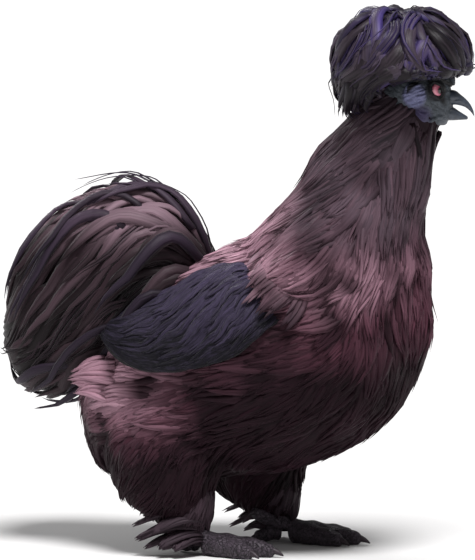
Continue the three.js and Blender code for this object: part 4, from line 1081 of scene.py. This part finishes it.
# Wings
# Each wing lies folded against the side as a long leaf: rows of overlapping vanes of slate-indigo silk, its
# barbs fine and a little crimped. Locks of the shoulder fall over its front and blend it into the body.
WING_LINE = np.array([(38.0, 196.0), (-8.0, 160.0), (-95.0, 147.0)])
WING_DEPTH = 35.0

# Each row of vanes: how many, where along the wing they start and end, how wide they are, and their rise
WING_ROWS = [(30, 0.6, 1.04, 8, -2.8), (34, 0.48, 0.88, 6.5, -2.8), (38, 0.34, 0.74, 6.5, -2.5),
             (38, 0.2, 0.6, 6.5, -2.3), (36, 0.06, 0.46, 6.5, -2.1), (30, -0.06, 0.32, 7, -2.0)]


def beside_torso(x, z, side, h):
    """Places h out from the torso's side, and the way out."""
    xs = np.array([row[0] for row in TORSO], float)
    share = np.clip(np.interp(x, xs, np.arange(len(xs))) / (len(xs) - 1), 0.06, 0.95)
    row = along(TORSO, share)
    to_end = np.minimum(np.minimum(share / 0.14, (1 - share) / 0.16), 1)
    full = np.sqrt(np.maximum(0, 1 - (1 - to_end) ** 2))
    rise = np.clip((z - row[..., 2]) / (row[..., 3] * full), -0.86, 0.86)
    out = unit(np.stack([0 * x, side * np.sqrt(1 - rise**2) / row[..., 4], rise / row[..., 3]], axis=-1))
    return np.stack([x, side * row[..., 4] * full * np.sqrt(1 - rise**2), z], axis=-1) + out * h[..., None], out


def on_wing(u, v, side, h):
    """Places h out on the folded wing, u along it and v across it from 1 to -1, and the way out."""
    first, second, third = WING_LINE
    w = u[..., None]
    p = (1 - w) ** 2 * first + 2 * w * (1 - w) * second + w**2 * third
    d = unit((1 - w) * (second - first) + w * (third - second))
    depth = WING_DEPTH * np.maximum(0.02, np.sin(np.pi * np.clip(0.14 + 0.845 * u, 0, 0.99))) ** 0.75 * v
    return beside_torso(p[..., 0] + d[..., 1] * depth, p[..., 1] - d[..., 0] * depth, side, h)


# Silk of the wing: slate-indigo, its barbs crimped so that fine wavy ridges catch the light. They are drawn
# 1.6 mm wide, coarser than the real ones.
wing_silk, tree = new_material("crimped_slate_wing_silk")
streaks, level = combed(tree, 0.12, 620.0, roughness=0.6, contrast=1.2, crimp=0.004)
# Each vane's root painted in shade, #14131a.
finish_silk(tree, toned(tree, level, [("#100e15", "#544a66", None)]), streaks, "#14131a", 0.5, 0.4, 0.002,
            {"Roughness": 0.45, "Specular IOR Level": 0.12, "Sheen Weight": 0.06, "Sheen Roughness": 0.4},
            depth=0.9)

for label, side in (("right", -1), ("left", 1)):
    guides, normals, spreads, lights = [], [], [], []
    s = np.linspace(0, 1, 14)
    for count, u0, u1, wide, rise in WING_ROWS:
        v = np.linspace(-1.25, 1.1, count) + rng.uniform(-0.03, 0.03, count)
        begin = u0 + rng.uniform(-0.05, 0.05, count)
        tip = u1 - np.abs(v) ** 2 * 0.14 + rng.uniform(-0.05, 0.05, count)
        u = np.clip(begin[:, None] + (tip - begin)[:, None] * s, 0, 1)
        sway = patches(np.stack([u.ravel() * 130, np.repeat(v, len(s)) * 36, 0 * u.ravel()], axis=1), 13, 9.0)
        leaf = v[:, None] - 0.32 + 0.64 * s + 0.12 * sway.reshape(u.shape)
        leaf = 0.98 * np.tanh(1.3 * leaf)
        out_by = rise - 4 * (1 - s)[None] ** 2 + rng.uniform(-0.6, 0.6, count)[:, None]
        out_by += 14 * soft_step(0.62, 1, u) - 9 * soft_step(0.24, 0.0, u)
        place, out = on_wing(u, -leaf, side, out_by)
        guides.append(place)
        normals.append(out)
        spreads.append(wide * rng.uniform(0.8, 1.2, count))
        # Painted shade towards the lower edge of the wing and painted light on its top and front; each vane
        # lighter or darker at random.
        lights.append(0.22 - 0.28 * np.clip(v, -1, 1) - 0.15 * soft_step(0.4, 1, v) + 0.4 * (0.3 - u0)
                      + rng.uniform(-0.14, 0.14, count))
    guide = np.concatenate(guides)
    lay_locks(f"wing_vanes_{label}", wing_silk, "wing_feathers", guide, np.concatenate(normals),
              np.concatenate(spreads), {"light": np.concatenate(lights)}, unwrapped(guide[:, 0]),
              [f"wing_{label}"])

    # The locks of the shoulder
    count = 150
    v = rng.uniform(-1.15, 1.15, count)
    u0 = rng.uniform(-0.24, -0.04, count) - 0.05 * np.abs(v)
    run = rng.uniform(0.14, 0.32, count) * (1 - 0.3 * np.abs(v))
    u = u0[:, None] + run[:, None] * s
    leaf = v[:, None] * (1 + 0.9 * soft_step(0.15, -0.15, u)) - 0.05 + 0.3 * s
    leaf = leaf + 0.1 * rng.uniform(-1, 1, (count, 1)) * s
    above = 7 * soft_step(-0.12, 0.12, u) - 6.5 - 8 * soft_step(0.4, 0, s) + rng.uniform(-0.5, 1.2, (count, 1))
    place, out = on_wing(u, -leaf, side, above)
    shades = {key: value.reshape(count, -1) + rng.uniform(-0.1, 0.1, (count, 1)) for key, value in
              plumage_shades(place.reshape(-1, 3), out.reshape(-1, 3)).items()}
    # Tips greyer; pink painted light fading towards the tips, and painted shade deeper towards the wing's lower
    # edge.
    shades["ash"], shades["pink_and_painted_light"] = shades["ash"] + 0.3 + 0.6 * s, shades["pink_and_painted_light"] * (0.9 - 0.6 * s)
    shades["dusk"] = shades["dusk"] + 0.1 + 0.35 * np.clip(v, -0.3, 1)[:, None]
    lay_locks(f"shoulder_locks_{label}", coat_silk, "body_feathers", place, out, rng.uniform(4, 7, count),
              shades, unwrapped(place[:, 0]))

# Boots
# Feathering of the shanks and outer toes, of the coat's own silk: soft tufts that point back and out, just
# clear of the floor, under a cuff of locks that hang from the thigh, with fine strands over both.

# Each tuft: the height of its root, its turn outwards from straight back, and its length
BOOT_TUFTS = [(30, 24, 38), (27, 6, 42), (25, 48, 34), (22, -22, 26), (20, 30, 41), (17, 10, 38), (15, 58, 33),
              (12, 38, 36), (10, 80, 28), (9, 14, 30), (8, 60, 27)]
CUFF_LOCKS = 46

for label, (side, x) in LEGS.items():
    tall, turned, long = np.array(BOOT_TUFTS, float).T
    s = np.linspace(0, 1, 9)[None]
    turned = np.radians(turned + rng.uniform(-6, 6, len(turned))) * side
    heading = np.stack([-np.cos(turned), np.sin(turned), 0 * turned], axis=1)
    path = heading[:, None] * (3 + long[:, None, None] * s[..., None])
    path[..., 2] = tall[:, None] + 3 * np.sin(np.pi * s) - np.minimum(9, tall - 5)[:, None] * s**1.4
    round_leg = np.linspace(-np.pi, np.pi, CUFF_LOCKS, endpoint=False) + rng.uniform(-0.1, 0.1, CUFF_LOCKS)
    wrap = np.stack([np.cos(round_leg), np.sin(round_leg), 0 * round_leg], axis=1)
    flare = rng.uniform(3, 6, CUFF_LOCKS) - 4 * np.cos(round_leg)
    skirt = wrap[:, None] * (10 + flare[:, None, None] * np.sin(0.8 * np.pi * s)[..., None])
    top, fall = rng.uniform(36, 46, CUFF_LOCKS)[:, None], rng.uniform(15, 26, CUFF_LOCKS)[:, None]
    skirt[..., 2] = top - fall * s
    skirt[..., 0] -= 3 * s
    for part, lines, out, wide, dusk in (("tufts", path, UP, 24, 0.15),
                                         ("cuff", skirt, wrap[:, None], 12, 0.5)):
        lines = lines + np.array([x - 3, side * STANCE, 0])
        out = np.broadcast_to(out, lines.shape)
        spread = wide * rng.uniform(0.85, 1.2, len(lines))
        light = plumage_shades(lines[:, 3], 0 * lines[:, 3] + UP)["light"] + 0.1
        shades = {"light": light, "ash": 0 * spread + 1.0, "pink_and_painted_light": 0 * spread, "dusk": 0 * spread + dusk}
        uv = unwrapped(lines[:, 0])
        lay_locks(f"boot_{part}_{label}", coat_silk, "body_feathers", lines, out, spread, shades, uv,
                  root_width=0.4)
        lay_locks(f"boot_{part}_strands_{label}", coat_silk, "body_feathers", lines + out * (0.06 * wide), out,
                  0.9 * spread, shades, uv, flat=0.4, root_width=0.4, strands=6, fullness=1.5 / 0.9,
                  closing=0.9, rise=0.3)
